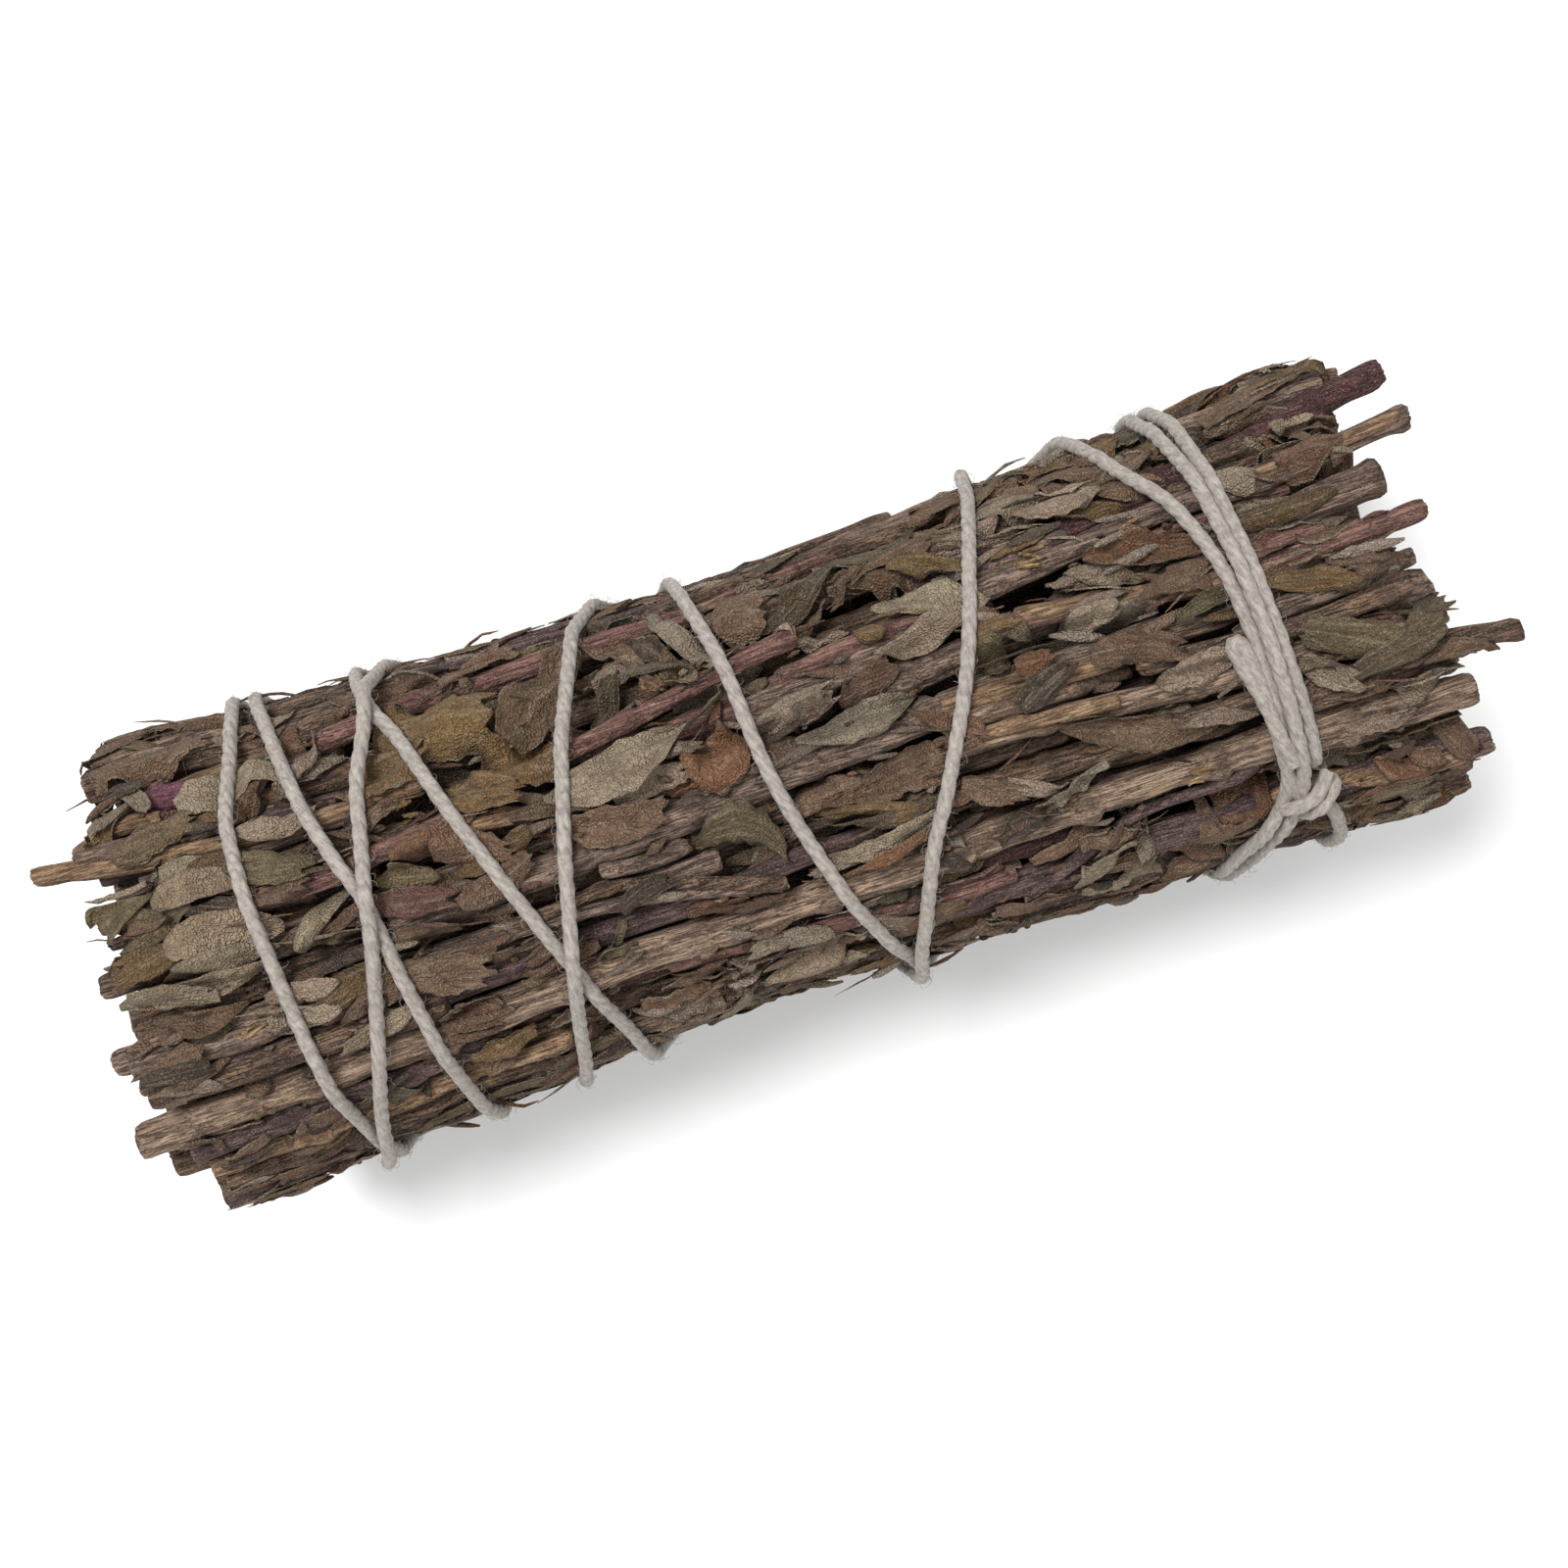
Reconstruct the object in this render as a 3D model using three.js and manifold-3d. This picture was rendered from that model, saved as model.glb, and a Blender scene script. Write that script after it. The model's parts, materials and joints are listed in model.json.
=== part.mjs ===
// A bundle of dried sage: cut stems with leaves pressed between them, bound with one length of
// cotton string that spirals down the bundle and back and is knotted near one end.
//
// Millimetres, +Z up. +X runs along the bundle towards the knot, and the bundle lies on Z = 0.
// Places on the bundle are given as x along it and an angle round it, in degrees from straight up
// towards +Y. Routes are drawn for a bundle of DRAWN_LENGTH and stretch with CUT_LENGTH.

import * as THREE from "three";
import { mergeVertices } from "three/addons/utils/BufferGeometryUtils.js";
import Module from "manifold-3d";

// ---------------------------------------------------------------- driving dimensions

const CUT_LENGTH = 98; // from cut end to cut end of a stem that runs the whole bundle
const WAIST_RADIUS = 15.9; // of the stems' outline, where the string draws them in most
const PLAIN_END_RADIUS = 18.3; // of the outline at the cut end away from the knot
const KNOT_END_RADIUS = 17.3; // of the outline at the cut end beyond the knot
const WAIST_X = -4; // where the outline is narrowest
const COLLAR_X = 35; // middle of the band of turns that holds the knot
const COLLAR_PINCH = 0.5; // how far those turns draw the outline in
const FOOT_SPREAD = 1.3; // how far the lowest stems stand out beyond the knot, to rest level
const STRING_DIAMETER = 1.1;
const STRING_CLEARANCE = 0.45; // between the string and what it is wound on
const STEM_GAP = 0.32; // least space between two stems
const LEAF_THICKNESS = 0.5;
const INNER_STEM_RADIUS = 2.05; // the woody stems inside
const BACK_STEM_RADIUS = 1.35; // the stems of the far side

const STEM_SIDES = 8;
const INNER_STEM_SIDES = 6;
const STRING_SIDES = 8;
const STRING_STEP_DEG = 15; // of winding angle between two sections of the string

// ---------------------------------------------------------------- the bundle's outline

const DRAWN_LENGTH = 98;
const HALF = CUT_LENGTH / 2;
const STATIONS = 16; // sections along the bundle at which the stems' places are worked out
const REACH = HALF * 1.09; // the longest stems stand out this far from the middle
const RIPPLE = 0.35; // how far the outline wanders round the bundle
const OUTLINE_SLACK = 0.4; // how far a stem may stand out of the outline

const radians = THREE.MathUtils.degToRad;
const along = (x) => (x * CUT_LENGTH) / DRAWN_LENGTH;
const bell = (d, width) => Math.exp(-((d / width) ** 2));

// Outer radius of the stems at x along the bundle and at an angle round it.
function outline(x, angle) {
  const waist = along(WAIST_X);
  const toPlain = Math.max(0, (waist - x) / (waist + HALF));
  const toKnot = Math.max(0, (x - waist) / (HALF - waist));
  const flare =
    (PLAIN_END_RADIUS - WAIST_RADIUS) * toPlain ** 1.3 +
    (KNOT_END_RADIUS - WAIST_RADIUS) * toKnot ** 1.1;
  const pinch = COLLAR_PINCH * bell(x - along(COLLAR_X), 5);
  const down = Math.max(0, -Math.cos(angle)) ** 3;
  const foot = FOOT_SPREAD * down * THREE.MathUtils.smoothstep(x, along(39), along(48));
  const ripple = RIPPLE * Math.sin(3 * angle + x / 9) * Math.sin(x / 13 + angle);
  return WAIST_RADIUS + flare - pinch + foot + ripple;
}

// ---------------------------------------------------------------- what is in the bundle

// Stems that show on the upper side: name, colour, radius, how deep it lies under the outline, and
// its route of [x, angle] from its one end to its other.
const FRONT_STEMS = [
  ["stem_pale_long", "pale", 1.4, -0.35,
    [[-51, -38], [-40, -36.5], [-20, -37], [0, -36.5], [10, -35], [26, -32.5], [38, -32], [48.5, -36]]],
  ["stem_grey_centre", "grey", 1.25, 0.0,
    [[-29, -5], [-20, -3], [-10, -3.5], [0, -1], [10, 1], [20, 2], [30, 4], [43.5, 3]]],
  ["twig_tan_proud", "tan", 0.75, -0.2,
    [[-51.8, 32], [-45, 28.5], [-40, 26.5], [-30, 25], [-24, 26]]],
  ["twig_pink_upper", "pink", 0.8, -0.1,
    [[-31, 48], [-26, 53], [-20, 57], [-12, 58], [-2, 57], [4, 61], [10, 67]]],
  ["stem_rising_grey", "grey", 1.0, 0.1,
    [[-1, 15], [5, 17.5], [11, 22], [18, 28], [25, 32], [30, 34], [42, 34.5], [50, 39]]],
  ["stem_wine_red", "red", 1.25, 0.1,
    [[13, 36], [20, 37], [25, 40], [30, 43], [34, 46], [40, 52], [45, 57], [51, 65]]],
  ["stem_rose_knotted", "pink", 1.0, 0.25,
    [[-12, 18], [-5, 20], [0, 23], [5, 26], [12, 30], [18, 31]]],
  ["twig_rose_left", "pink", 0.8, 0.4,
    [[-42, 11], [-32, 11], [-25, 14], [-14, 24], [-6, 31], [4, 38]]],
  ["stem_pink_proud", "pink", 0.8, -0.1,
    [[16, 20], [20, 18.5], [25, 17], [28, 14], [33, 11.5], [38, 11.5], [48, 11.5]]],
  ["stem_grey_knot_end", "grey", 1.25, 0.6,
    [[7, 11], [20, 21], [30, 23], [36, 24], [42, 27], [46.8, 28]]],
  ["stem_brown_upper", "brown", 1.2, 0.5,
    [[-2, 48], [8, 51], [15, 53], [20, 52], [30, 57], [40, 67], [48.5, 76]]],
  ["stem_peeled", "pale", 0.95, 0.2,
    [[11, -4], [20, -4.5], [27, -7], [33, -10], [44, -11]]],
  ["stub_knot_end", "brown", 0.85, 0.2,
    [[26, -1], [36, -4], [41, -5], [45.5, -2]]],
  ["twig_leafy_proud", "brown", 0.8, 0.1,
    [[7, -18], [14, -21], [20, -22], [25, -20], [34, -19], [41, -20], [47, -18], [52, -23]]],
  ["stem_dark_cleft", "brown", 1.1, 1.1,
    [[-48.5, -13], [-38, -12], [-30, -11], [-20, -10], [-5, -11], [4, -13], [20, -13]]],
  ["twig_bowed", "grey", 0.5, -0.25,
    [[-30, -15], [-25, -16], [-20, -15.5], [-13, -17], [-8, -20], [-5, -24], [-2.5, -29]]],
  ["stem_purple_thin", "purple", 0.95, 0.2,
    [[-49, -22.5], [-40, -26], [-30, -29], [-20, -28.5], [-8, -27], [6, -25]]],
  ["stem_frayed_end", "grey", 1.0, 0.8,
    [[-50, -18], [-40, -18.5], [-30, -20], [-20, -21], [-6, -19]]],
  ["stem_russet_lower", "red", 1.1, 0.7,
    [[-50, -44], [-25, -44], [-10, -45.5], [5, -46], [21, -45]]],
  ["stem_umber_lower", "brown", 1.3, 0.3,
    [[-50.5, -52], [-30, -53], [-10, -53], [10, -57], [24, -61], [49, -68]]],
  ["stem_purple_lower", "purple", 1.2, 0.4,
    [[4, -50], [14, -53], [25, -52], [38, -53], [49.5, -53]]],
  ["stem_brown_knot_end", "brown", 1.25, 0.3,
    [[12, -27], [25, -25.5], [34, -25.5], [40, -26.5], [48, -28]]],
  ["stem_grey_lower", "grey", 1.1, 0.5,
    [[10, -40], [22, -41], [34, -41], [49, -44]]],
  ["stem_olive_left", "grey", 1.15, 0.7,
    [[-49.5, 5], [-40, 3], [-30, 2], [-18, 6], [-2, 8], [14, 11]]],
  ["stem_covered_left", "brown", 1.1, 1.2,
    [[-48.5, 20], [-30, 19], [-15, 12], [-6, 9]]],
  ["stem_covered_upper", "brown", 1.15, 1.1,
    [[-48, 40], [-25, 42], [-10, 42], [6, 41], [18, 44], [36, 55], [47, 60]]],
  ["stem_umber_upper", "brown", 1.3, 0.3,
    [[-48.5, 62], [-25, 64], [0, 68], [25, 68], [49, 84]]],
  ["stem_grey_upper", "grey", 1.25, 0.1,
    [[-48, 78], [-25, 79], [0, 80], [25, 82], [48.5, 93]]],
  ["stem_brown_lower", "brown", 1.3, 0.2,
    [[-48.5, -66], [-20, -66], [0, -68], [25, -74], [49, -81]]],
  ["stem_purple_under", "purple", 1.3, 0.1,
    [[-49.5, -80], [-20, -80], [0, -81], [25, -86], [48.5, -94]]],
];

// Stems of the far side, evenly set from one angle to another.
const BACK_STEMS = { count: 12, from: 97, to: 265, colours: ["brown", "grey", "pale", "purple"] };

// The stems inside lie in rings: how many, and the ring's radius as a share of the outline.
const INNER_RINGS = [
  { count: 3, share: 0.2 },
  { count: 8, share: 0.55 },
];

// Leaves that lie clear on top: name, colour, x and angle of the middle, turn in the surface,
// length and width.
const LEAVES = [
  ["leaf_sage_large", "sage", -10, 19, 19, 12.5, 3.6],
  ["leaf_sage_rounded", "sage", -41, 4.5, -4, 8, 3.2],
  ["leaf_ochre_broad", "ochre", -23, 36, 6, 8, 5.2],
  ["leaf_olive_curled", "olive", -4.6, -17, -38, 7.5, 3.8],
  ["leaf_umber_pointed", "umber", 6.5, -9.5, -16, 9.5, 3.6],
  ["leaf_taupe_long", "umber", 23, -13.5, -17, 9, 3.2],
];

// The string's route: [winding angle, x]. The angle grows all along the string, and a whole turn
// is 360. It starts at the knot, spirals to the plain end, and crosses back over itself.
const STRING_ROUTE = [
  [-41, 35.9], [-25, 35.8], [0, 35.4], [40, 35.0], [90, 34.8], [180, 32.5], [270, 29.5], [300, 31.6],
  [315, 33.6], [335, 33.9], [360, 33.7], [375, 33.2], [390, 32.1], [405, 30.2], [420, 28.8],
  [450, 27.0], [540, 15.8], [630, 6.4], [655, 4.7], [690, 1.3], [720, -0.8], [750, -1.6], [780, -3.0],
  [810, -4.1], [900, -9.9], [990, -15.3], [1015, -16.0], [1035, -17.0], [1050, -18.0], [1065, -19.3],
  [1080, -20.9], [1100, -23.1], [1120, -25.1], [1135, -26.9], [1170, -28.2], [1260, -28.0],
  [1350, -28.0], [1380, -28.5], [1410, -29.0], [1440, -29.9], [1455, -31.3], [1470, -32.7],
  [1500, -34.6], [1530, -36.0], [1620, -36.6], [1710, -36.1], [1740, -36.4], [1770, -37.0],
  [1800, -37.5], [1830, -37.8], [1860, -37.2], [1890, -37.7], [1980, -39.4], [2070, -37.5],
  [2095, -35.9], [2110, -34.7], [2130, -32.6], [2150, -30.6], [2160, -29.8], [2175, -29.0],
  [2190, -28.3], [2210, -26.6], [2250, -25.7], [2340, -23.7], [2430, -21.5], [2460, -20.0],
  [2475, -19.2], [2490, -18.2], [2505, -17.0], [2520, -15.8], [2550, -13.4], [2580, -11.1],
  [2610, -8.9], [2700, -2.0], [2790, 4.5], [2815, 5.4], [2830, 6.5], [2850, 8.3], [2870, 11.4],
  [2890, 14.4], [2910, 16.6], [2940, 19.0], [2970, 20.2], [3060, 24.7], [3150, 30.6], [3180, 33.1],
  [3195, 34.6], [3215, 34.7], [3240, 34.5], [3280, 33.9], [3330, 33.5], [3420, 36.4], [3510, 38.2],
  [3535, 37.6], [3549, 36.4],
];
const KNOT = { x: 34.8, angle: -46, size: 1.05 };
const TAIL_ROUTE = [[-44, 33.6], [-38, 32.4], [-25, 32.2], [-12, 31.9], [-3, 31.4]];

// ---------------------------------------------------------------- materials

const COLOURS = {
  pale: [0xa58d70, 0.8],
  grey: [0x75655a, 0.85],
  tan: [0xa5794f, 0.75],
  pink: [0x8a5c52, 0.8],
  red: [0x5b3230, 0.75],
  purple: [0x574349, 0.8],
  brown: [0x5f4a3a, 0.85],
  sage: [0x9a9a82, 0.9],
  ochre: [0x7d6238, 0.9],
  olive: [0x7c7450, 0.9],
  umber: [0x7a5f4b, 0.9],
  cotton: [0xcfc7bd, 0.95],
};
const materials = Object.fromEntries(
  Object.entries(COLOURS).map(([slot, [color, roughness]]) => [
    slot,
    new THREE.MeshStandardMaterial({ name: slot, color, roughness, metalness: 0 }),
  ]),
);

// ---------------------------------------------------------------- stems

// Value of a route at a place along it, straight between its points.
function onRoute(route, at) {
  let i = 1;
  while (i < route.length - 1 && route[i][0] < at) i += 1;
  const [[a, from], [b, to]] = [route[i - 1], route[i]];
  return from + ((to - from) * (at - a)) / (b - a);
}

const stationStep = (2 * REACH) / (STATIONS - 1);
const stationX = Array.from({ length: STATIONS }, (_, i) => -REACH + i * stationStep);

// A stem with its wished place (home) and its place at every station, both as [y, z].
function stem(name, slot, radius, firmness, ends, placeAt) {
  const home = stationX.map((x) => {
    const [angle, distance] = placeAt(THREE.MathUtils.clamp(x, ends[0], ends[1]));
    return new THREE.Vector2(distance * Math.sin(angle), distance * Math.cos(angle));
  });
  const active = stationX.map((x) => x > ends[0] - stationStep && x < ends[1] + stationStep);
  return { name, slot, radius, firmness, ends, home, active, places: home.map((p) => p.clone()) };
}

function frontStem([name, slot, radius, sink, drawn]) {
  const route = drawn.map(([x, angle]) => [along(x), radians(angle)]);
  const ends = [route[0][0], route.at(-1)[0]];
  return stem(name, slot, radius, 4, ends, (x) => {
    const angle = onRoute(route, x);
    return [angle, outline(x, angle) - sink - radius];
  });
}

function backStem(index) {
  const { count, from, to, colours } = BACK_STEMS;
  const angle = radians(from + ((to - from) * index) / (count - 1));
  const radius = BACK_STEM_RADIUS * (1 + 0.14 * Math.sin(index * 2.3));
  const ends = [-HALF - 0.9 * Math.sin(index * 1.7), HALF + 1.1 * Math.sin(index * 2.9)];
  const name = `stem_far_${String(index + 1).padStart(2, "0")}`;
  return stem(name, colours[index % colours.length], radius, 2, ends, (x) => {
    const wander = angle + radians(3) * Math.sin(x / 17 + index * 2.1);
    return [wander, outline(x, wander) - radius - 0.15];
  });
}

function innerStem(ring, index, number) {
  const turn = (2 * Math.PI * index) / ring.count + ring.share;
  const ends = [-HALF + 0.8 * Math.sin(number * 2.2), HALF - 2 + 1.6 * Math.sin(number * 1.3)];
  const radius = INNER_STEM_RADIUS * (1 + 0.12 * Math.sin(number * 1.9));
  const name = `stem_inner_${String(number).padStart(2, "0")}`;
  return stem(name, number % 3 ? "grey" : "pale", radius, 1, ends, (x) => {
    const angle = turn + radians(5) * Math.sin(x / 23 + number);
    return [angle, ring.share * outline(x, angle)];
  });
}

// Pushes two stems apart at one station if they are closer than the gap. The softer one gives way.
function pushApart(a, b, station) {
  const between = b.places[station].clone().sub(a.places[station]);
  const short = a.radius + b.radius + STEM_GAP - between.length();
  if (short <= 0) return;
  between.setLength(short);
  const share = b.firmness / (a.firmness + b.firmness);
  a.places[station].addScaledVector(between, -share);
  b.places[station].addScaledVector(between, 1 - share);
}

// Keeps a stem under the bundle's outline at one station, give or take a little.
function keepInside(s, station) {
  const place = s.places[station];
  const angle = Math.atan2(place.x, place.y);
  const most = outline(stationX[station], angle) + OUTLINE_SLACK - s.radius;
  if (place.length() > most) place.setLength(most);
}

// A stem bends little, so each place moves towards the line between its neighbours' displacements.
function straighten(s, pull) {
  const moved = s.places.map((p, i) => p.clone().sub(s.home[i]));
  for (let i = 0; i < STATIONS; i += 1) {
    const before = moved[Math.max(0, i - 1)];
    const after = moved[Math.min(STATIONS - 1, i + 1)];
    const middle = before.clone().add(after).multiplyScalar(0.5);
    s.places[i].copy(s.home[i]).add(moved[i].clone().lerp(middle, 0.4).multiplyScalar(pull));
  }
}

// Settles the stems as they would pack in the hand: each near its own place, none in another.
function settle(stems) {
  const rounds = 260;
  for (let round = 0; round < rounds; round += 1) {
    const shaping = round < rounds * 0.7;
    if (shaping) stems.forEach((s) => straighten(s, 0.995));
    for (let station = 0; station < STATIONS; station += 1) {
      const here = stems.filter((s) => s.active[station]);
      here.forEach((a, i) => here.slice(i + 1).forEach((b) => pushApart(a, b, station)));
      here.forEach((s) => keepInside(s, station));
    }
  }
}

// Centre of a stem's section at x, as [y, z].
function centreAt(s, x) {
  const f = THREE.MathUtils.clamp((x + REACH) / stationStep, 0, STATIONS - 1.001);
  const i = Math.floor(f);
  return s.places[i].clone().lerp(s.places[i + 1], f - i);
}

// A stem's solid: a cylinder with a ring of corners at each station, moved onto its centreline.
function stemGeometry(s, sides) {
  const [from, to] = s.ends;
  const clear = stationStep * 0.2;
  const rings = [from, ...stationX.filter((x) => x > from + clear && x < to - clear), to];
  const geometry = new THREE.CylinderGeometry(1, 1, 1, sides, rings.length - 1);
  const corners = geometry.attributes.position;
  for (let i = 0; i < corners.count; i += 1) {
    const ring = Math.round((corners.getY(i) + 0.5) * (rings.length - 1));
    const x = rings[ring];
    const centre = centreAt(s, x);
    const y = centre.x + corners.getZ(i) * s.radius;
    const z = centre.y + corners.getX(i) * s.radius;
    corners.setXYZ(i, x, y, z);
  }
  return geometry;
}

const inner = INNER_RINGS.flatMap((ring, r) => {
  const before = INNER_RINGS.slice(0, r).reduce((sum, other) => sum + other.count, 0);
  return Array.from({ length: ring.count }, (_, i) => innerStem(ring, i, before + i + 1));
});
const shown = FRONT_STEMS.map(frontStem);
const back = Array.from({ length: BACK_STEMS.count }, (_, i) => backStem(i));
const stems = [...shown, ...back, ...inner];
settle(stems);

// Distance from the axis at which something of half-thickness spare rests on the stems.
function restingRadius(x, angle, spare) {
  const out = new THREE.Vector2(Math.sin(angle), Math.cos(angle));
  let furthest = 0;
  for (const s of stems) {
    if (x < s.ends[0] - spare || x > s.ends[1] + spare) continue;
    const centre = centreAt(s, x);
    const outward = centre.dot(out);
    const across = centre.cross(out);
    const reach = (s.radius + spare) ** 2 - across ** 2;
    if (reach > 0) furthest = Math.max(furthest, outward + Math.sqrt(reach));
  }
  return furthest;
}

// ---------------------------------------------------------------- leaves

// A leaf is a flattened ball, narrower towards its tip, laid on the stems under it.
function leafOf([name, slot, drawnX, degrees, turnDegrees, length, width]) {
  const x = along(drawnX);
  const angle = radians(degrees);
  const turn = radians(turnDegrees);
  const level = outline(x, angle);
  const at = (a, b) => {
    const placeX = x + a * Math.cos(turn) - b * Math.sin(turn);
    return [placeX, angle + (a * Math.sin(turn) + b * Math.cos(turn)) / level];
  };
  const breadth = (t) => (width / 2) * (1 - 0.3 * t);
  const spare = LEAF_THICKNESS / 2 + STEM_GAP;
  let lift = 0;
  for (let a = -1; a <= 1; a += 0.125) {
    for (let b = -1; b <= 1; b += 0.25) {
      const [px, pa] = at((a * length) / 2, b * breadth(a) * Math.sqrt(1 - a * a));
      lift = Math.max(lift, restingRadius(px, pa, spare) - outline(px, angle));
    }
  }
  const top = (px, pa) => {
    const dx = px - x;
    const arc = (pa - angle) * level;
    const a = (dx * Math.cos(turn) + arc * Math.sin(turn)) / (length / 2);
    const b = (-dx * Math.sin(turn) + arc * Math.cos(turn)) / (width / 2);
    const edge = STRING_DIAMETER / (width / 2);
    return Math.abs(a) < 1 + 0.15 && Math.abs(b) < 1.3 + edge
      ? outline(px, angle) + lift + LEAF_THICKNESS / 2
      : 0;
  };
  return { name, slot, at, breadth, length, angle, lift, top };
}

function leafGeometry(leaf) {
  const geometry = new THREE.SphereGeometry(1, 10, 8);
  const corners = geometry.attributes.position;
  for (let i = 0; i < corners.count; i += 1) {
    const t = corners.getY(i);
    const [x, angle] = leaf.at((t * leaf.length) / 2, -corners.getX(i) * leaf.breadth(t));
    const radius = outline(x, leaf.angle) + leaf.lift + (corners.getZ(i) * LEAF_THICKNESS) / 2;
    corners.setXYZ(i, x, radius * Math.sin(angle), radius * Math.cos(angle));
  }
  return geometry;
}

const leaves = LEAVES.map(leafOf);

// ---------------------------------------------------------------- string

const STRING_RADIUS = STRING_DIAMETER / 2;
const SAMPLE_DEG = 3;

// Points of the route, close together: x, angle, and later the distance from the axis.
function samplesOf(route) {
  const samples = [];
  const xs = new THREE.SplineCurve(route.map(([angle, x]) => new THREE.Vector2(angle, along(x))));
  const fine = xs.getPoints(route.length * 40).map((p) => [p.x, p.y]);
  for (let angle = route[0][0]; angle <= route.at(-1)[0]; angle += SAMPLE_DEG) {
    samples.push({ x: onRoute(fine, angle), angle: radians(angle), radius: 0 });
  }
  return samples;
}

// Least distance from the axis for a sample: over the stems, the leaves and the turns laid before.
function leastRadius(sample, earlier) {
  const { x, angle } = sample;
  let least = restingRadius(x, angle, STRING_RADIUS + STRING_CLEARANCE);
  for (const leaf of leaves) {
    const nearest = angle - 2 * Math.PI * Math.round((angle - leaf.angle) / (2 * Math.PI));
    const top = leaf.top(x, nearest);
    if (top > 0) least = Math.max(least, top + STRING_RADIUS + STRING_CLEARANCE);
  }
  const touch = STRING_DIAMETER * 1.02;
  for (const other of earlier) {
    if (Math.abs(other.x - x) > touch) continue;
    const turn = angle - other.angle;
    const arc = other.radius * (turn - 2 * Math.PI * Math.round(turn / (2 * Math.PI)));
    const apart = (other.x - x) ** 2 + arc ** 2;
    if (apart < touch ** 2) least = Math.max(least, other.radius + Math.sqrt(touch ** 2 - apart));
  }
  return least;
}

// Draws the string tight: it leaves the surface wherever a straight run between high points is
// shorter, which in terms of 1 / radius is a condition on neighbouring samples.
function drawTight(samples) {
  const least = samples.map((s) => 1 / s.least);
  const inverse = [...least];
  const lean = 2 * Math.cos(radians(SAMPLE_DEG));
  for (let round = 0; round < 400; round += 1) {
    for (let i = 1; i < samples.length - 1; i += 1) {
      inverse[i] = Math.min(inverse[i], (inverse[i - 1] + inverse[i + 1]) / lean);
    }
  }
  samples.forEach((s, i) => {
    s.radius = 1 / inverse[i];
  });
}

function windString(samples) {
  const wholeTurn = Math.round(300 / SAMPLE_DEG);
  for (let pass = 0; pass < 3; pass += 1) {
    samples.forEach((s, i) => {
      const laid = pass === 0 ? [] : samples.slice(0, Math.max(0, i - wholeTurn));
      s.least = leastRadius(s, laid);
    });
    // the knot holds the string's start level with the stem beside it
    samples[0].least = Math.max(...samples.slice(0, 8).map((s) => s.least));
    drawTight(samples);
  }
}

const pointOf = ({ x, angle, radius }) =>
  new THREE.Vector3(x, radius * Math.sin(angle), radius * Math.cos(angle));

function tube(points, steps) {
  const section = new THREE.Shape();
  for (let i = 0; i < STRING_SIDES; i += 1) {
    const turn = (2 * Math.PI * i) / STRING_SIDES;
    const corner = [STRING_RADIUS * Math.cos(turn), STRING_RADIUS * Math.sin(turn)];
    if (i === 0) section.moveTo(...corner);
    else section.lineTo(...corner);
  }
  const extrudePath = new THREE.CatmullRomCurve3(points);
  extrudePath.arcLengthDivisions = points.length * 4;
  return new THREE.ExtrudeGeometry(section, { steps, bevelEnabled: false, extrudePath });
}

const wasm = await Module();
wasm.setup();

function solidOf(geometry) {
  const bare = geometry.clone();
  bare.deleteAttribute("normal");
  bare.deleteAttribute("uv");
  const merged = mergeVertices(bare, 1e-4);
  return new wasm.Manifold(
    new wasm.Mesh({
      numProp: 3,
      vertProperties: new Float32Array(merged.attributes.position.array),
      triVerts: new Uint32Array(merged.index.array),
    }),
  );
}

function geometryOf(solid) {
  const { vertProperties, triVerts } = solid.getMesh();
  return new THREE.BufferGeometry()
    .setAttribute("position", new THREE.BufferAttribute(new Float32Array(vertProperties), 3))
    .setIndex(new THREE.BufferAttribute(new Uint32Array(triVerts), 1));
}

// A pulled knot: a small closed loop wound round itself, lying on the collar's turns.
function knotGeometry(radiusHere) {
  const knot = new THREE.TorusKnotGeometry(KNOT.size, STRING_RADIUS * 0.8, 40, 6, 2, 3);
  const angle = radians(KNOT.angle);
  const out = new THREE.Vector3(0, Math.sin(angle), Math.cos(angle));
  knot.applyQuaternion(new THREE.Quaternion().setFromUnitVectors(new THREE.Vector3(0, 0, 1), out));
  const centre = out.multiplyScalar(radiusHere + STRING_RADIUS * 0.9);
  return knot.translate(along(KNOT.x), centre.y, centre.z);
}

function stringGeometry() {
  const samples = samplesOf(STRING_ROUTE);
  windString(samples);
  const steps = Math.round((samples.length * SAMPLE_DEG) / STRING_STEP_DEG);
  const wound = tube(samples.map(pointOf), steps);

  const collarRadius = Math.max(
    ...samples
      .filter((s) => Math.abs(s.x - along(KNOT.x)) < 2)
      .filter((s) => Math.cos(s.angle - radians(KNOT.angle)) > 0.99)
      .map((s) => s.radius),
  );
  const tailSamples = samplesOf(TAIL_ROUTE);
  tailSamples.forEach((s) => {
    s.least = leastRadius(s, samples);
  });
  drawTight(tailSamples);
  tailSamples[0].radius = collarRadius + STRING_RADIUS;
  const tail = tube(tailSamples.map(pointOf), 6);

  return geometryOf(solidOf(wound).add(solidOf(knotGeometry(collarRadius))).add(solidOf(tail)));
}

// ---------------------------------------------------------------- assembly

// A mesh whose own origin is the middle of its shape.
function piece(name, slot, geometry) {
  geometry.computeBoundingBox();
  const middle = geometry.boundingBox.getCenter(new THREE.Vector3());
  geometry.translate(-middle.x, -middle.y, -middle.z);
  const mesh = new THREE.Mesh(geometry, materials[slot]);
  mesh.name = name;
  mesh.position.copy(middle);
  return mesh;
}

const bundle = new THREE.Group();
for (const s of stems) {
  const sides = inner.includes(s) ? INNER_STEM_SIDES : STEM_SIDES;
  bundle.add(piece(s.name, s.slot, stemGeometry(s, sides)));
}
for (const leaf of leaves) bundle.add(piece(leaf.name, leaf.slot, leafGeometry(leaf)));
bundle.add(piece("binding_string", "cotton", stringGeometry()));

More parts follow.
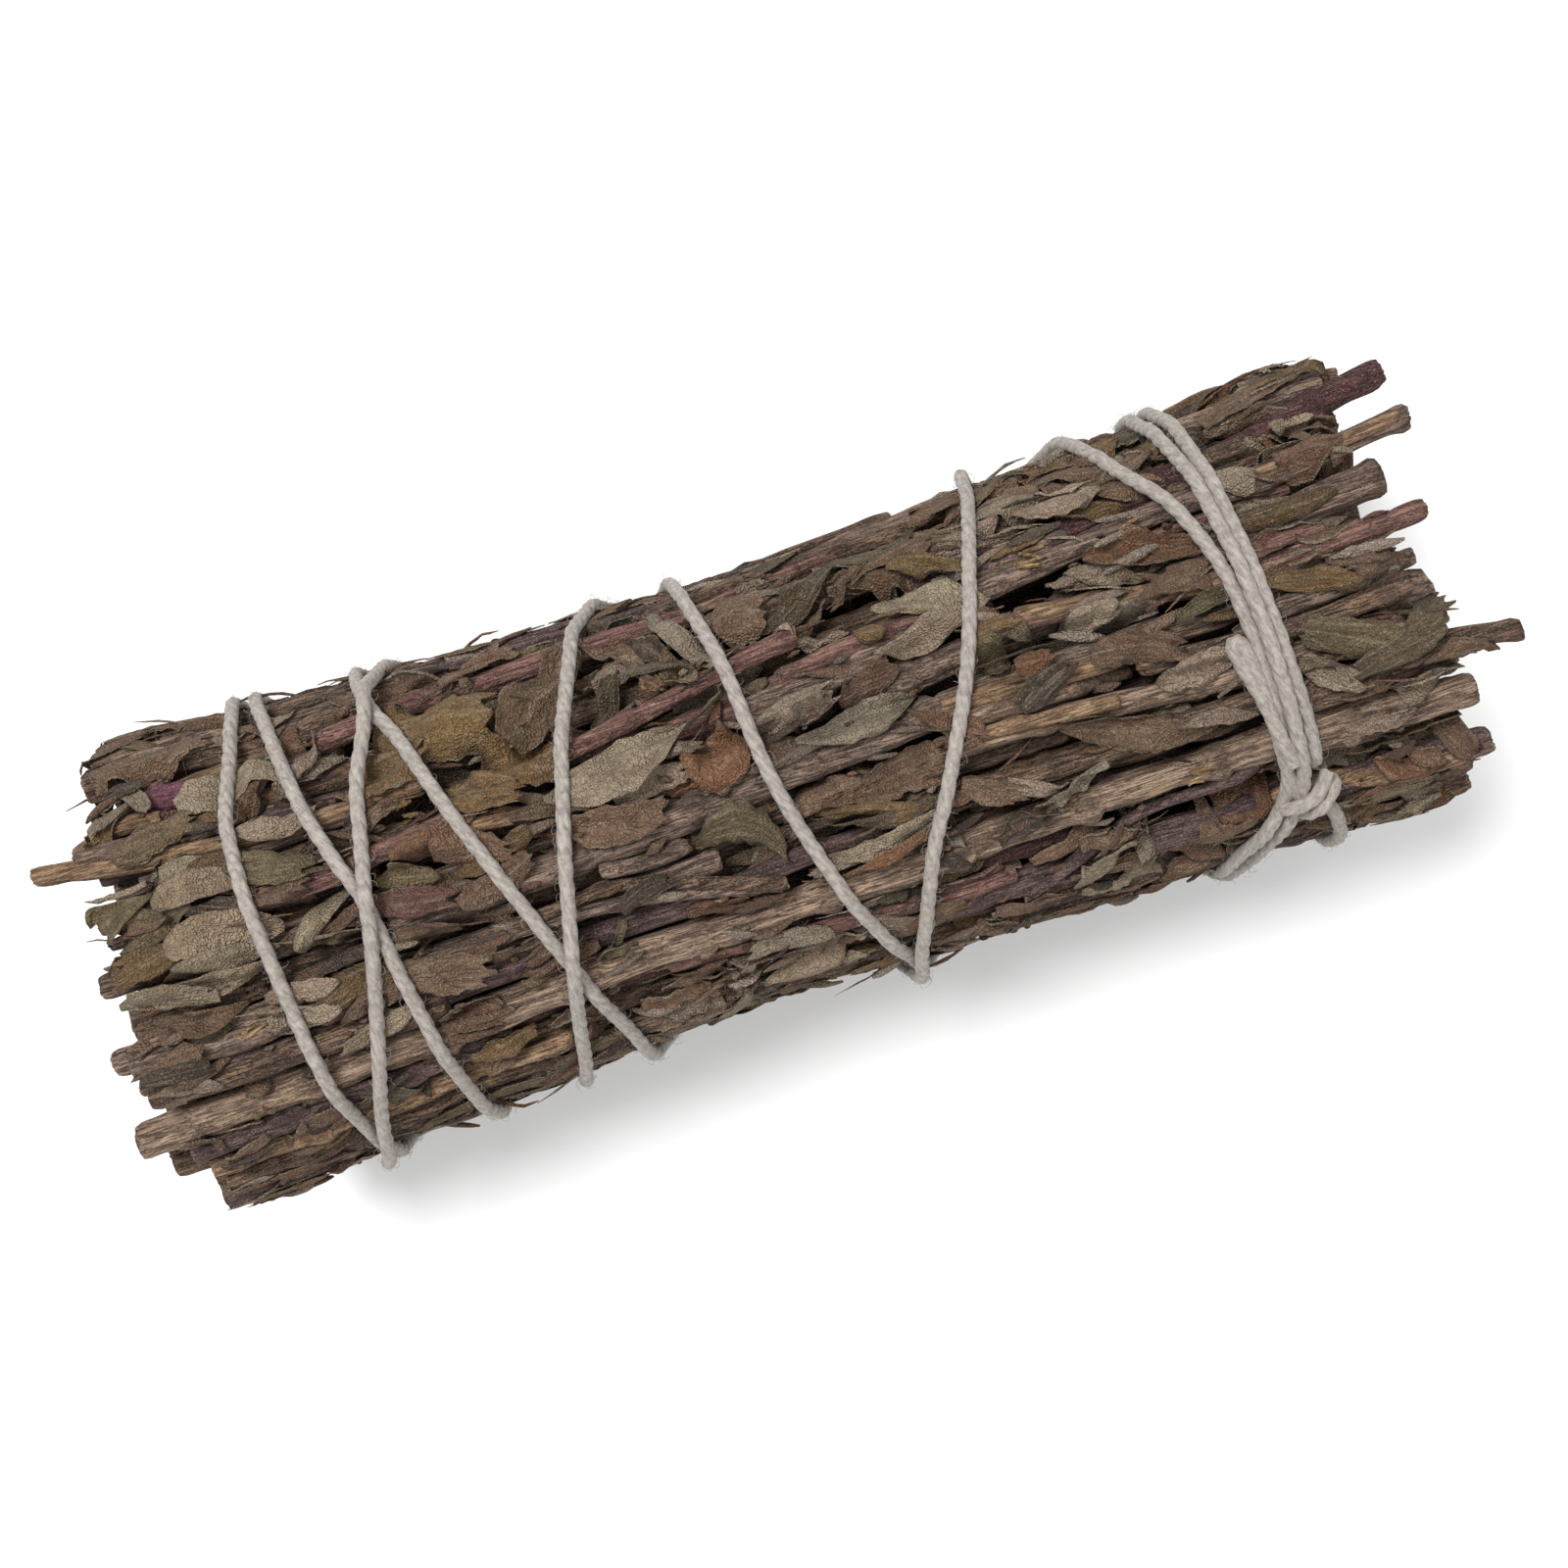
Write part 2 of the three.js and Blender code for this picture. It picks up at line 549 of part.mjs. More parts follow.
// Stand the lowest point on Z = 0, and the middle of the length and of the width on the origin.
const box = new THREE.Box3().setFromObject(bundle, true);
bundle.position.set(-(box.min.x + box.max.x) / 2, -(box.min.y + box.max.y) / 2, -box.min.z);

export default bundle;
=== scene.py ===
"""A bundle of dried sage: barked stems, pressed dry leaves and a binding of twisted cotton string.

Sizes are in millimetres and are turned into metres where a mesh is made. A place on the bundle is
given as x along it and an angle round it, in degrees from straight up towards +Y.
"""

import json
import math
from itertools import product

import bpy
import numpy as np
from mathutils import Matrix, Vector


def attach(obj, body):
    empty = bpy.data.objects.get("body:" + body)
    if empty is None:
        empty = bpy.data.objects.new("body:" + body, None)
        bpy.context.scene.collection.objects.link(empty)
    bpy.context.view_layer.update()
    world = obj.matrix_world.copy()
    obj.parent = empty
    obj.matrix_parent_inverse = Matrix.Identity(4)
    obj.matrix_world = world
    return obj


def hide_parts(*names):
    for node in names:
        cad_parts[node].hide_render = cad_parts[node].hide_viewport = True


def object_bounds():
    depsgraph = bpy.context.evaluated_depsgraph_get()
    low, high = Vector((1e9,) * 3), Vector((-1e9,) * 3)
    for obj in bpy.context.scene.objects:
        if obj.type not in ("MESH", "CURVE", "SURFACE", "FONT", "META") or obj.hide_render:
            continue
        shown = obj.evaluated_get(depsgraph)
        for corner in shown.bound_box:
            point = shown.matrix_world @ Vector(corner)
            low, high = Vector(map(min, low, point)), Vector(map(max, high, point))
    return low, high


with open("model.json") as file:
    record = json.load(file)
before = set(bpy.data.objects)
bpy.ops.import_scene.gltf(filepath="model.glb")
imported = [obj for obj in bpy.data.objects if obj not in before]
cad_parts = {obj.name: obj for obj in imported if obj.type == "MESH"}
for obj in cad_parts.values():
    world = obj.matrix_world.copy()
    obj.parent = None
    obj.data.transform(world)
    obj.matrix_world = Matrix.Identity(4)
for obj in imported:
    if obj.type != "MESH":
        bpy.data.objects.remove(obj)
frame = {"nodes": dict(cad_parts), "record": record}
cad_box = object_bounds()

MM = 0.001

# ---------------------------------------------------------------- places taken from the frame

AXIS_OFF_MIDDLE = (0.19, -0.29)  # the bundle's axis, against the middle of the frame's box
box_low, box_high = (np.array(corner) / MM for corner in cad_box)
AXIS_Y, AXIS_Z = (box_low + box_high)[1:] / 2 + AXIS_OFF_MIDDLE
SLOT_OF = {part["node"]: part["material_slot"] for part in frame["record"]["subparts"]}
STEM_NODES = [name for name in SLOT_OF if name.startswith(("stem_", "twig_", "stub_"))]

# ---------------------------------------------------------------- sizes

STRING_DIAMETER = 1.1
STRING_RADIUS = STRING_DIAMETER / 2
STRING_BED = 0.2  # how far the string lies off the stems, for the leaves that it presses
PLIES = 3
PLY_RADIUS = 0.40
PLY_PITCH = 4.4  # length of string for one whole twist
LEAF_THICKNESS = 0.17
LEAF_GAP = 0.03  # between a leaf and what is under it
SQUEEZE = 0.22  # how gradually leaves are pressed flat as they near the lid
LID_SPARE = 0.28  # how far leaves may stand out of the bundle's outline
TOP_SPARE = 1.15  # and how much further the leaves on top may
BARK_RELIEF = 0.28
LEAF_RELIEF = 0.24
COTTON_RELIEF = 0.10
MM_PER_DEGREE = 0.29  # round the bundle, at its surface
SEED = 11

# ---------------------------------------------------------------- colours (linear)

SAGE = (0.405, 0.325, 0.238)
SILVER = (0.400, 0.320, 0.252)
TAUPE = (0.245, 0.152, 0.098)
UMBER = (0.205, 0.115, 0.070)
RUST = (0.262, 0.122, 0.058)
OCHRE = (0.235, 0.142, 0.055)
OLIVE = (0.205, 0.152, 0.080)
MOSS = (0.128, 0.096, 0.056)
DUSK = (0.085, 0.055, 0.038)
ROSE = (0.215, 0.105, 0.080)

# ---------------------------------------------------------------- small helpers


def bell(distance, width):
    return np.exp(-((distance / width) ** 2))


class Noise:
    """Smooth random heights between about -1 and 1, the same on every run."""

    def __init__(self, seed):
        self.lattice = np.random.default_rng(seed).uniform(-1, 1, (24, 24, 24))

    def __call__(self, *coordinates):
        points = np.stack(np.broadcast_arrays(*coordinates), axis=-1)
        cell = np.floor(points).astype(int)
        part = points - cell
        part = part * part * (3 - 2 * part)
        total = np.zeros(points.shape[:-1])
        for corner in product((0, 1), repeat=3):
            weight = np.prod(np.where(corner, part, 1 - part), axis=-1)
            i, j, k = np.moveaxis((cell + corner) % 24, -1, 0)
            total += weight * self.lattice[i, j, k]
        return total * 1.4


def on_bundle(x, degrees, reach):
    """Points in millimetres, from places on the bundle."""
    turn = np.radians(degrees)
    y = AXIS_Y + reach * np.sin(turn)
    z = AXIS_Z + reach * np.cos(turn)
    return np.stack(np.broadcast_arrays(x, y, z), axis=-1)


def store(mesh, **attributes):
    """Keeps vectors on a mesh's corners, for its material or for geometry nodes."""
    for key, values in attributes.items():
        made = mesh.attributes.new(key, "FLOAT_VECTOR", "POINT")
        made.data.foreach_set("vector", np.asarray(values, dtype=np.float32).ravel())


def new_mesh(name, corners, faces, **attributes):
    """A smooth mesh from corners in millimetres, none of them under the floor."""
    mesh = bpy.data.meshes.new(name)
    above = np.array(corners, dtype=float)
    above[:, 2] = np.maximum(above[:, 2], 0.0)
    mesh.from_pydata((above * MM).tolist(), [], [list(face) for face in faces])
    mesh.shade_smooth()
    store(mesh, **attributes)
    return mesh


def new_piece(name, mesh, material, replaces=()):
    piece = bpy.data.objects.new(name, mesh)
    bpy.context.scene.collection.objects.link(piece)
    mesh.materials.clear()
    mesh.materials.append(material)
    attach(piece, "root")
    if replaces:
        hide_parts(*replaces)
    return piece


def joined(parts):
    """Corners, faces and attributes of several (corners, faces, attributes) as one."""
    corners = np.concatenate([part[0] for part in parts])
    starts = np.cumsum([0] + [len(part[0]) for part in parts[:-1]])
    faces = [[c + s for c in face] for (_, fs, _), s in zip(parts, starts) for face in fs]
    attributes = {key: np.concatenate([part[2][key] for part in parts]) for key in parts[0][2]}
    return corners, faces, attributes


def new_joined(name, parts, material, replaces=()):
    corners, faces, marks = joined(parts)
    new_piece(name, new_mesh(name, corners, faces, **marks), material, replaces)


def grid_faces(rows, columns, start=0, wrap=False):
    """Quads of a grid of corners that are numbered row by row."""
    faces = []
    for i in range(rows - 1):
        for j in range(columns if wrap else columns - 1):
            a = start + i * columns + j
            b = start + i * columns + (j + 1) % columns
            faces.append((a, b, b + columns, a + columns))
    return faces


# ---------------------------------------------------------------- node trees


def add(tree, kind, links=None, **settings):
    """Adds a node. links holds a value, or another node's output, for each input by name or number."""
    made = tree.nodes.new(kind)
    for key, value in settings.items():
        setattr(made, key, value)
    for key, value in (links or {}).items():
        if isinstance(value, bpy.types.NodeSocket):
            tree.links.new(value, made.inputs[key])
        else:
            made.inputs[key].default_value = value
    return made


def put(tree, kind, links=None, **settings):
    """Adds a node and gives its first output."""
    return add(tree, kind, links, **settings).outputs[0]


def maths(tree, operation, a, b=0.0):
    return put(tree, "ShaderNodeMath", {0: a, 1: b}, operation=operation)


def times(tree, a, b):
    return maths(tree, "MULTIPLY", a, b)


def vector_of(tree, x=0.0, y=0.0, z=0.0):
    return put(tree, "ShaderNodeCombineXYZ", {0: x, 1: y, 2: z})


def mixed(tree, factor, a, b, blend="MIX"):
    """Colour a turning into colour b."""
    a, b = ((*c, 1) if isinstance(c, tuple) else c for c in (a, b))
    return add(tree, "ShaderNodeMix", {0: factor, 6: a, 7: b}, data_type="RGBA", blend_type=blend).outputs[2]


def layered(tree, colour, layers):
    """Lays colours over a colour, each one by its own factor."""
    for factor, over in layers:
        colour = mixed(tree, factor, colour, over)
    return colour


def between(tree, value, low, high, to_high=1.0):
    """From 0 where the value is low to to_high where it is high."""
    links = {0: value, 1: low, 2: high, 3: 0.0, 4: to_high}
    return put(tree, "ShaderNodeMapRange", links, interpolation_type="SMOOTHSTEP")


def scaled_by(tree, vector, scale):
    return put(tree, "ShaderNodeMapping", {"Vector": vector, "Scale": scale})


def stretched(tree, along, across=None):
    """Object coordinates with so many pattern cells to a millimetre, along the bundle and across it."""
    where = add(tree, "ShaderNodeTexCoord").outputs["Object"]
    cells = np.array((along, across or along, across or along)) / MM
    return scaled_by(tree, where, cells.tolist())


def noise(tree, vector, detail=3.0, roughness=0.55, output=0):
    links = {"Vector": vector, "Scale": 1.0, "Detail": detail, "Roughness": roughness}
    return add(tree, "ShaderNodeTexNoise", links).outputs[output]


def pattern(tree, along, across=None, **settings):
    return noise(tree, stretched(tree, along, across), **settings)


def attribute(tree, name):
    return add(tree, "ShaderNodeAttribute", attribute_name=name).outputs["Vector"]


def parts_of(tree, vector):
    return add(tree, "ShaderNodeSeparateXYZ", {0: vector}).outputs


def finish_material(tree, colour, height, depth, roughness, sheen=0.0):
    """Joins a colour and a height to the shader. depth is the relief in millimetres."""
    bump = put(tree, "ShaderNodeBump", {"Height": height, "Strength": 1.0, "Distance": depth * MM})
    links = {
        "Base Color": colour, "Normal": bump, "Roughness": roughness,
        "Sheen Weight": sheen, "Sheen Roughness": 0.5, "Specular IOR Level": 0.25,
    }
    add(tree, "ShaderNodeOutputMaterial", {"Surface": put(tree, "ShaderNodeBsdfPrincipled", links)})


def new_material(name):
    material = bpy.data.materials.new(name)
    material.use_nodes = True
    material.node_tree.nodes.clear()
    return material, material.node_tree


# ---------------------------------------------------------------- materials

# How each kind of stem looks: colours of the bark's furrows, of its ridges and of the wood under it,
# and how much of the wood is bare. Besides the bark's own striping, the furrows' colour is partly
# painted shade and the ridges' partly painted highlight.
BARKS = {
    "pale": [(0.100, 0.062, 0.044), (0.385, 0.270, 0.192), (0.40, 0.28, 0.18), 0.50],
    "grey": [(0.066, 0.042, 0.032), (0.285, 0.198, 0.150), (0.33, 0.22, 0.14), 0.30],
    "tan": [(0.125, 0.070, 0.038), (0.345, 0.222, 0.128), (0.38, 0.26, 0.155), 0.35],
    "pink": [(0.090, 0.042, 0.036), (0.260, 0.138, 0.108), (0.33, 0.22, 0.15), 0.30],
    "red": [(0.038, 0.015, 0.016), (0.118, 0.050, 0.046), (0.24, 0.14, 0.10), 0.20],
    "purple": [(0.044, 0.026, 0.027), (0.150, 0.092, 0.084), (0.27, 0.18, 0.12), 0.30],
    "wine": [(0.085, 0.026, 0.040), (0.220, 0.085, 0.115), (0.30, 0.18, 0.14), 0.12],
    "bud": [(0.130, 0.070, 0.028), (0.340, 0.225, 0.105), (0.42, 0.29, 0.14), 0.40],
    "brown": [(0.042, 0.025, 0.017), (0.205, 0.128, 0.084), (0.30, 0.19, 0.11), 0.34],
}
GRIT = (0.40, 0.33, 0.265)
CUT_WOOD = [(0.14, 0.085, 0.045), (0.42, 0.29, 0.165)]


def shaded(colour, share):
    return tuple(channel * share for channel in colour)


def bark_material(kind):
    """Striped bark. bark holds where a cut face, a crease and a knot are. Painted shade darkens its splits
    and creases, and partly its furrows; painted highlight partly lightens its ridges.
    """
    furrow, ridge, bare_wood, bare_share = BARKS[kind]
    material, tree = new_material("bark_" + kind)
    cut, crease, knotted = parts_of(tree, attribute(tree, "bark"))
    fine = pattern(tree, 0.55, 9.0, detail=4.0, roughness=0.6)
    coarse = pattern(tree, 0.14, 2.2)
    patches = pattern(tree, 0.24, 0.6, detail=4.0, roughness=0.65)
    grain = pattern(tree, 6.0, 9.0, detail=2.0, roughness=0.7)
    splits = pattern(tree, 0.16, 3.6, detail=2.0)
    rays = pattern(tree, 1.0, 9.0)

    ridges = maths(tree, "ADD", times(tree, fine, 0.55), times(tree, coarse, 0.45))
    edge = 0.74 - 0.3 * bare_share
    bare = between(tree, patches, edge - 0.03, edge + 0.03)
    split = between(tree, maths(tree, "ABSOLUTE", maths(tree, "SUBTRACT", splits, 0.5)), 0.030, 0.008)
    split = maths(tree, "MAXIMUM", split, times(tree, crease, 0.8))

    # Partly the bark's own striping, partly painted shade and highlight: the bark and the bare wood are
    # darker where the ridges that the bump raises are low, and lighter where they are high.
    wood = mixed(tree, between(tree, fine, 0.38, 0.58), shaded(bare_wood, 0.5), bare_wood)
    colour = mixed(tree, between(tree, ridges, 0.42, 0.59), furrow, ridge)
    colour = layered(tree, colour, [
        (times(tree, bare, 0.85), wood),
        # painted shade: the splits, which the bump sinks, and the stem's creases are darkened
        (times(tree, split, 0.75), shaded(furrow, 0.45)),
        (between(tree, grain, 0.53, 0.72, 0.75), shaded(furrow, 0.6)),
        (between(tree, grain, 0.47, 0.28, 0.45), GRIT),
        (times(tree, knotted, 0.45), shaded(furrow, 0.7)),
        (between(tree, cut, 0.3, 0.7), mixed(tree, between(tree, rays, 0.3, 0.7), *CUT_WOOD)),
    ])
    height = maths(tree, "ADD", ridges, times(tree, grain, 0.35))
    for mark, depth in ((bare, 0.15), (split, 0.35)):
        height = maths(tree, "SUBTRACT", height, times(tree, mark, depth))
    finish_material(tree, colour, height, BARK_RELIEF, 0.88)
    return material


def leaf_material():
    """Pebbled, veined dry leaf, its hollows painted darker as shade. tint holds its colour, and blade the
    place along and across it.
    """
    material, tree = new_material("dry_leaf")
    tint, blade = attribute(tree, "tint"), attribute(tree, "blade")
    along, across, _ = parts_of(tree, blade)
    wander = maths(tree, "SUBTRACT", pattern(tree, 1.1, detail=2.0), 0.5)
    side = maths(tree, "ADD", maths(tree, "ABSOLUTE", across), times(tree, wander, 0.35))

    cells = add(tree, "ShaderNodeTexVoronoi", {"Vector": stretched(tree, 5.2), "Scale": 1.0}, feature="F1")
    pebble = between(tree, cells.outputs["Distance"], 0.2, 0.75)
    bent = pattern(tree, 0.9, detail=2.0, output="Color")
    bent = mixed(tree, 0.35, stretched(tree, 1.5), bent, blend="ADD")
    net = add(tree, "ShaderNodeTexVoronoi", {"Vector": bent, "Scale": 1.0}, feature="DISTANCE_TO_EDGE")
    furrow = between(tree, net.outputs["Distance"], 0.10, 0.0)
    wrinkles = noise(tree, scaled_by(tree, blade, (0.45, 4.5, 1.0)), roughness=0.6)
    ladder = maths(tree, "PINGPONG", maths(tree, "SUBTRACT", along, side), 0.5)
    midrib = between(tree, maths(tree, "ABSOLUTE", side), 0.11, 0.03)
    veins = maths(tree, "MAXIMUM", midrib, times(tree, between(tree, ladder, 0.12, 0.02), 0.35))
    grain = pattern(tree, 4.2, roughness=0.75)

    # A darker copy of the tint: for the leaves' random mottling, and as painted shade in the hollows below.
    dark = mixed(tree, 1.0, tint, (0.34, 0.30, 0.27), blend="MULTIPLY")
    broad = pattern(tree, 0.35, detail=4.0, roughness=0.6)
    links = {0: broad, 1: 0.35, 2: 0.62, 3: 0.45, 4: 1.0}
    lit = put(tree, "ShaderNodeMapRange", links, interpolation_type="SMOOTHSTEP")
    colour = layered(tree, mixed(tree, lit, dark, tint), [
        (between(tree, grain, 0.50, 0.72, 0.55), (0.42, 0.355, 0.275)),
        (between(tree, grain, 0.46, 0.28, 0.7), (0.050, 0.032, 0.022)),
        (between(tree, pattern(tree, 0.7), 0.56, 0.74, 0.35), (0.155, 0.082, 0.045)),
        # painted shade: the pebbles' rims and the veins' net, which the bump sinks, are darkened
        (times(tree, pebble, 0.62), dark),
        (times(tree, furrow, 0.55), dark),
        # painted shade in the wrinkles' troughs and painted highlight on their crests, where the bump lowers
        # and raises the leaf
        (between(tree, wrinkles, 0.47, 0.36, 0.6), dark),
        (between(tree, wrinkles, 0.55, 0.66, 0.25), (0.42, 0.35, 0.27)),
        (times(tree, veins, 0.18), (0.36, 0.30, 0.21)),
        (between(tree, side, 0.90, 1.02, 0.40), (0.40, 0.33, 0.24)),
    ])
    height = times(tree, veins, 0.35)
    for mark, depth in ((pebble, -0.9), (furrow, -0.35), (wrinkles, 1.6), (grain, 0.8)):
        height = maths(tree, "ADD", height, times(tree, mark, depth))
    finish_material(tree, colour, height, LEAF_RELIEF, 0.93, sheen=0.04)
    return material


def cotton_material():
    """Off-white cotton, with fibres that run along each ply. fibre holds length along and turn round."""
    material, tree = new_material("cotton")
    fibre = scaled_by(tree, attribute(tree, "fibre"), (1.4, 7.0, 1.0))
    strands = noise(tree, fibre, detail=4.0, roughness=0.7)
    soil = between(tree, pattern(tree, 0.5), 0.50, 0.75, 0.35)
    colour = mixed(tree, between(tree, strands, 0.32, 0.68), (0.205, 0.180, 0.158), (0.375, 0.340, 0.304))
    colour = mixed(tree, soil, colour, (0.33, 0.28, 0.23))
    finish_material(tree, colour, strands, COTTON_RELIEF, 0.95, sheen=0.15)
    return material


# ---------------------------------------------------------------- stems


def centreline(node):
    """A CAD stem's own line: x, y and z in millimetres from the bundle's axis, and its radius."""
    mesh = frame["nodes"][node].data
    corners = np.array([corner.co[:] for corner in mesh.vertices]) / MM - (0, AXIS_Y, AXIS_Z)
    corners = np.unique(corners.round(3), axis=0)
    stations = np.unique(corners[:, 0].round(1))
    rows = [corners[np.abs(corners[:, 0] - x) < 0.12] for x in stations]
    middles = [(low + high) / 2 for low, high in ((row.min(axis=0), row.max(axis=0)) for row in rows)]
    radius = np.median([(row[:, 1:].max(axis=0) - row[:, 1:].min(axis=0)).mean() / 2 for row in rows])
    return np.array(middles), radius


def eased_line(points, step):
    """The same line with its bends rounded, at even steps of x."""
    count = max(8, int((points[-1, 0] - points[0, 0]) / step))
    x = np.linspace(points[0, 0], points[-1, 0], count)
    wide = np.linspace(-4.0, 4.0, 17)
    weight = bell(wide, 2.6)
    weight /= weight.sum()
    near = np.clip(x[:, None] + wide, points[0, 0], points[-1, 0])
    y, z = (np.interp(near, points[:, 0], points[:, i]) @ weight for i in (1, 2))
    ends = np.minimum(x - x[0], x[-1] - x)
    keep = np.exp(-ends / 1.5)
    y = y * (1 - keep) + np.interp(x, points[:, 0], points[:, 1]) * keep
    z = z * (1 - keep) + np.interp(x, points[:, 0], points[:, 2]) * keep
    return np.stack([x, y, z], axis=-1)


def stem_surface(line, radius, seed, sides):
    """Rings of corners round a stem's line, creased and knotted, closed by a cut face at each end."""
    bumps = Noise(seed)
    random = np.random.default_rng(seed)
    x = line[:, 0]
    length = x[-1] - x[0]
    turn = np.linspace(0, 2 * np.pi, sides, endpoint=False)
    out = np.stack([np.sin(turn), np.cos(turn)], axis=-1)
    along = x[:, None]
    sway = np.stack([bumps(x * 0.16 + k, 5.0, 0.0) for k in (0, 40)], axis=-1) * min(0.30, radius * 0.16)
    flutes = bumps(along * 0.07, out[:, 0] * 1.5, out[:, 1] * 1.5) * 0.10
    ridges = bumps(along * 0.12, out[:, 0] * 3.2, out[:, 1] * 3.2) * 0.05
    creases = bell(bumps(along * 0.09 + 9, out[:, 0] * 2.0, out[:, 1] * 2.0), 0.09)
    lumps = bumps(along * 0.5 + 3, out[:, 0] * 0.9, out[:, 1] * 0.9) * 0.06
    waist = bumps(x * 0.11 + 20, 0.0, 0.0) * 0.08
    girth = 0.96 + waist - 0.10 * random.uniform() * (x - x[0]) / length
    knots = np.arange(x[0] + random.uniform(3, 9), x[-1], random.uniform(8, 14))
    knot = sum((bell(x - k, 0.8) for k in knots), np.zeros_like(x))
    scar = sum((bell(x - k - 1.0, 0.3) for k in knots), np.zeros_like(x))
    swell = (0.20 * knot - 0.12 * scar)[:, None] * (1 + 0.6 * np.cos(turn + seed))
    ends = np.minimum(x - x[0], x[-1] - x)
    rounded = 1 - 0.12 * np.exp(-ends / 0.25)
    reach = girth[:, None] + flutes + ridges + lumps + swell - 0.13 * creases
    reach = radius * reach * rounded[:, None]
    rings = np.empty((len(x), sides, 3))
    rings[..., 0] = along
    rings[..., 1] = (line[:, 1] + sway[:, 0])[:, None] + reach * out[:, 0]
    rings[..., 2] = (line[:, 2] + sway[:, 1])[:, None] + reach * out[:, 1]
    bark = np.zeros_like(rings)
    bark[..., 1] = creases
    bark[..., 2] = np.clip(knot, 0, 1)[:, None]
    return with_cut_ends(rings, bark, random)


# The rings inside a cut face's rim: share of its radius, and how far each stands out.
CUT_FACE_RINGS = [(0.93, 0.05), (0.55, 0.10), (0.22, -0.08)]
PITH_DEPTH = 0.25


def with_cut_ends(rings, bark, random):
    """Closes a stem with a rough cut face at each end: a rim, two rings of wood and the pith."""
    rows, sides = rings.shape[:2]
    corners = [rings.reshape(-1, 3)]
    marks = [bark.reshape(-1, 3)]
    faces = [face[::-1] for face in grid_faces(rows, sides, wrap=True)]
    start = rows * sides
    for ring, outward in ((rings[0], -1.0), (rings[-1], 1.0)):
        middle = ring.mean(axis=0)
        slant = random.uniform(-0.25, 0.25, 2)
        edge = 0 if outward < 0 else (rows - 1) * sides
        for share, proud in CUT_FACE_RINGS:
            inner = middle + (ring - middle) * share
            rough = random.uniform(-0.07, 0.07, sides)
            tilt = (ring - middle)[:, 1:] @ slant * share
            inner[:, 0] += outward * proud + tilt * 0.6 + rough
            corners.append(inner)
            mark = np.zeros((sides, 3))
            mark[:, 0] = 1
            marks.append(mark)
            for j in range(sides):
                k = (j + 1) % sides
                quad = (edge + j, edge + k, start + k, start + j)
                faces.append(quad if outward < 0 else quad[::-1])
            edge = start
            start += sides
        corners.append((middle + (outward * -PITH_DEPTH, 0, 0))[None])
        marks.append(np.array([[0.55, 0, 0]]))
        for j in range(sides):
            tip = (edge + j, edge + (j + 1) % sides, start)
            faces.append(tip if outward < 0 else tip[::-1])
        start += 1
    return np.concatenate(corners), faces, {"bark": np.concatenate(marks)}


def make_stems(bark):
    """One barked piece for each CAD stem. Returns their lines, for what is laid on them."""
    lines = {}
    for number, node in enumerate(sorted(STEM_NODES)):
        points, radius = centreline(node)
        inside = node.startswith("stem_inner")
        line = eased_line(points, 0.9 if inside else 0.45)
        lines[node] = (line, radius)
        corners, faces, marks = stem_surface(line, radius, SEED + number, 14 if inside else 34)
        corners = corners + (0, AXIS_Y, AXIS_Z)
        mesh = new_mesh(node + "_bark", corners, faces, **marks)
        new_piece(node + "_bark", mesh, bark[SLOT_OF[node]], [node])
    return lines


# ---------------------------------------------------------------- the bundle's skin


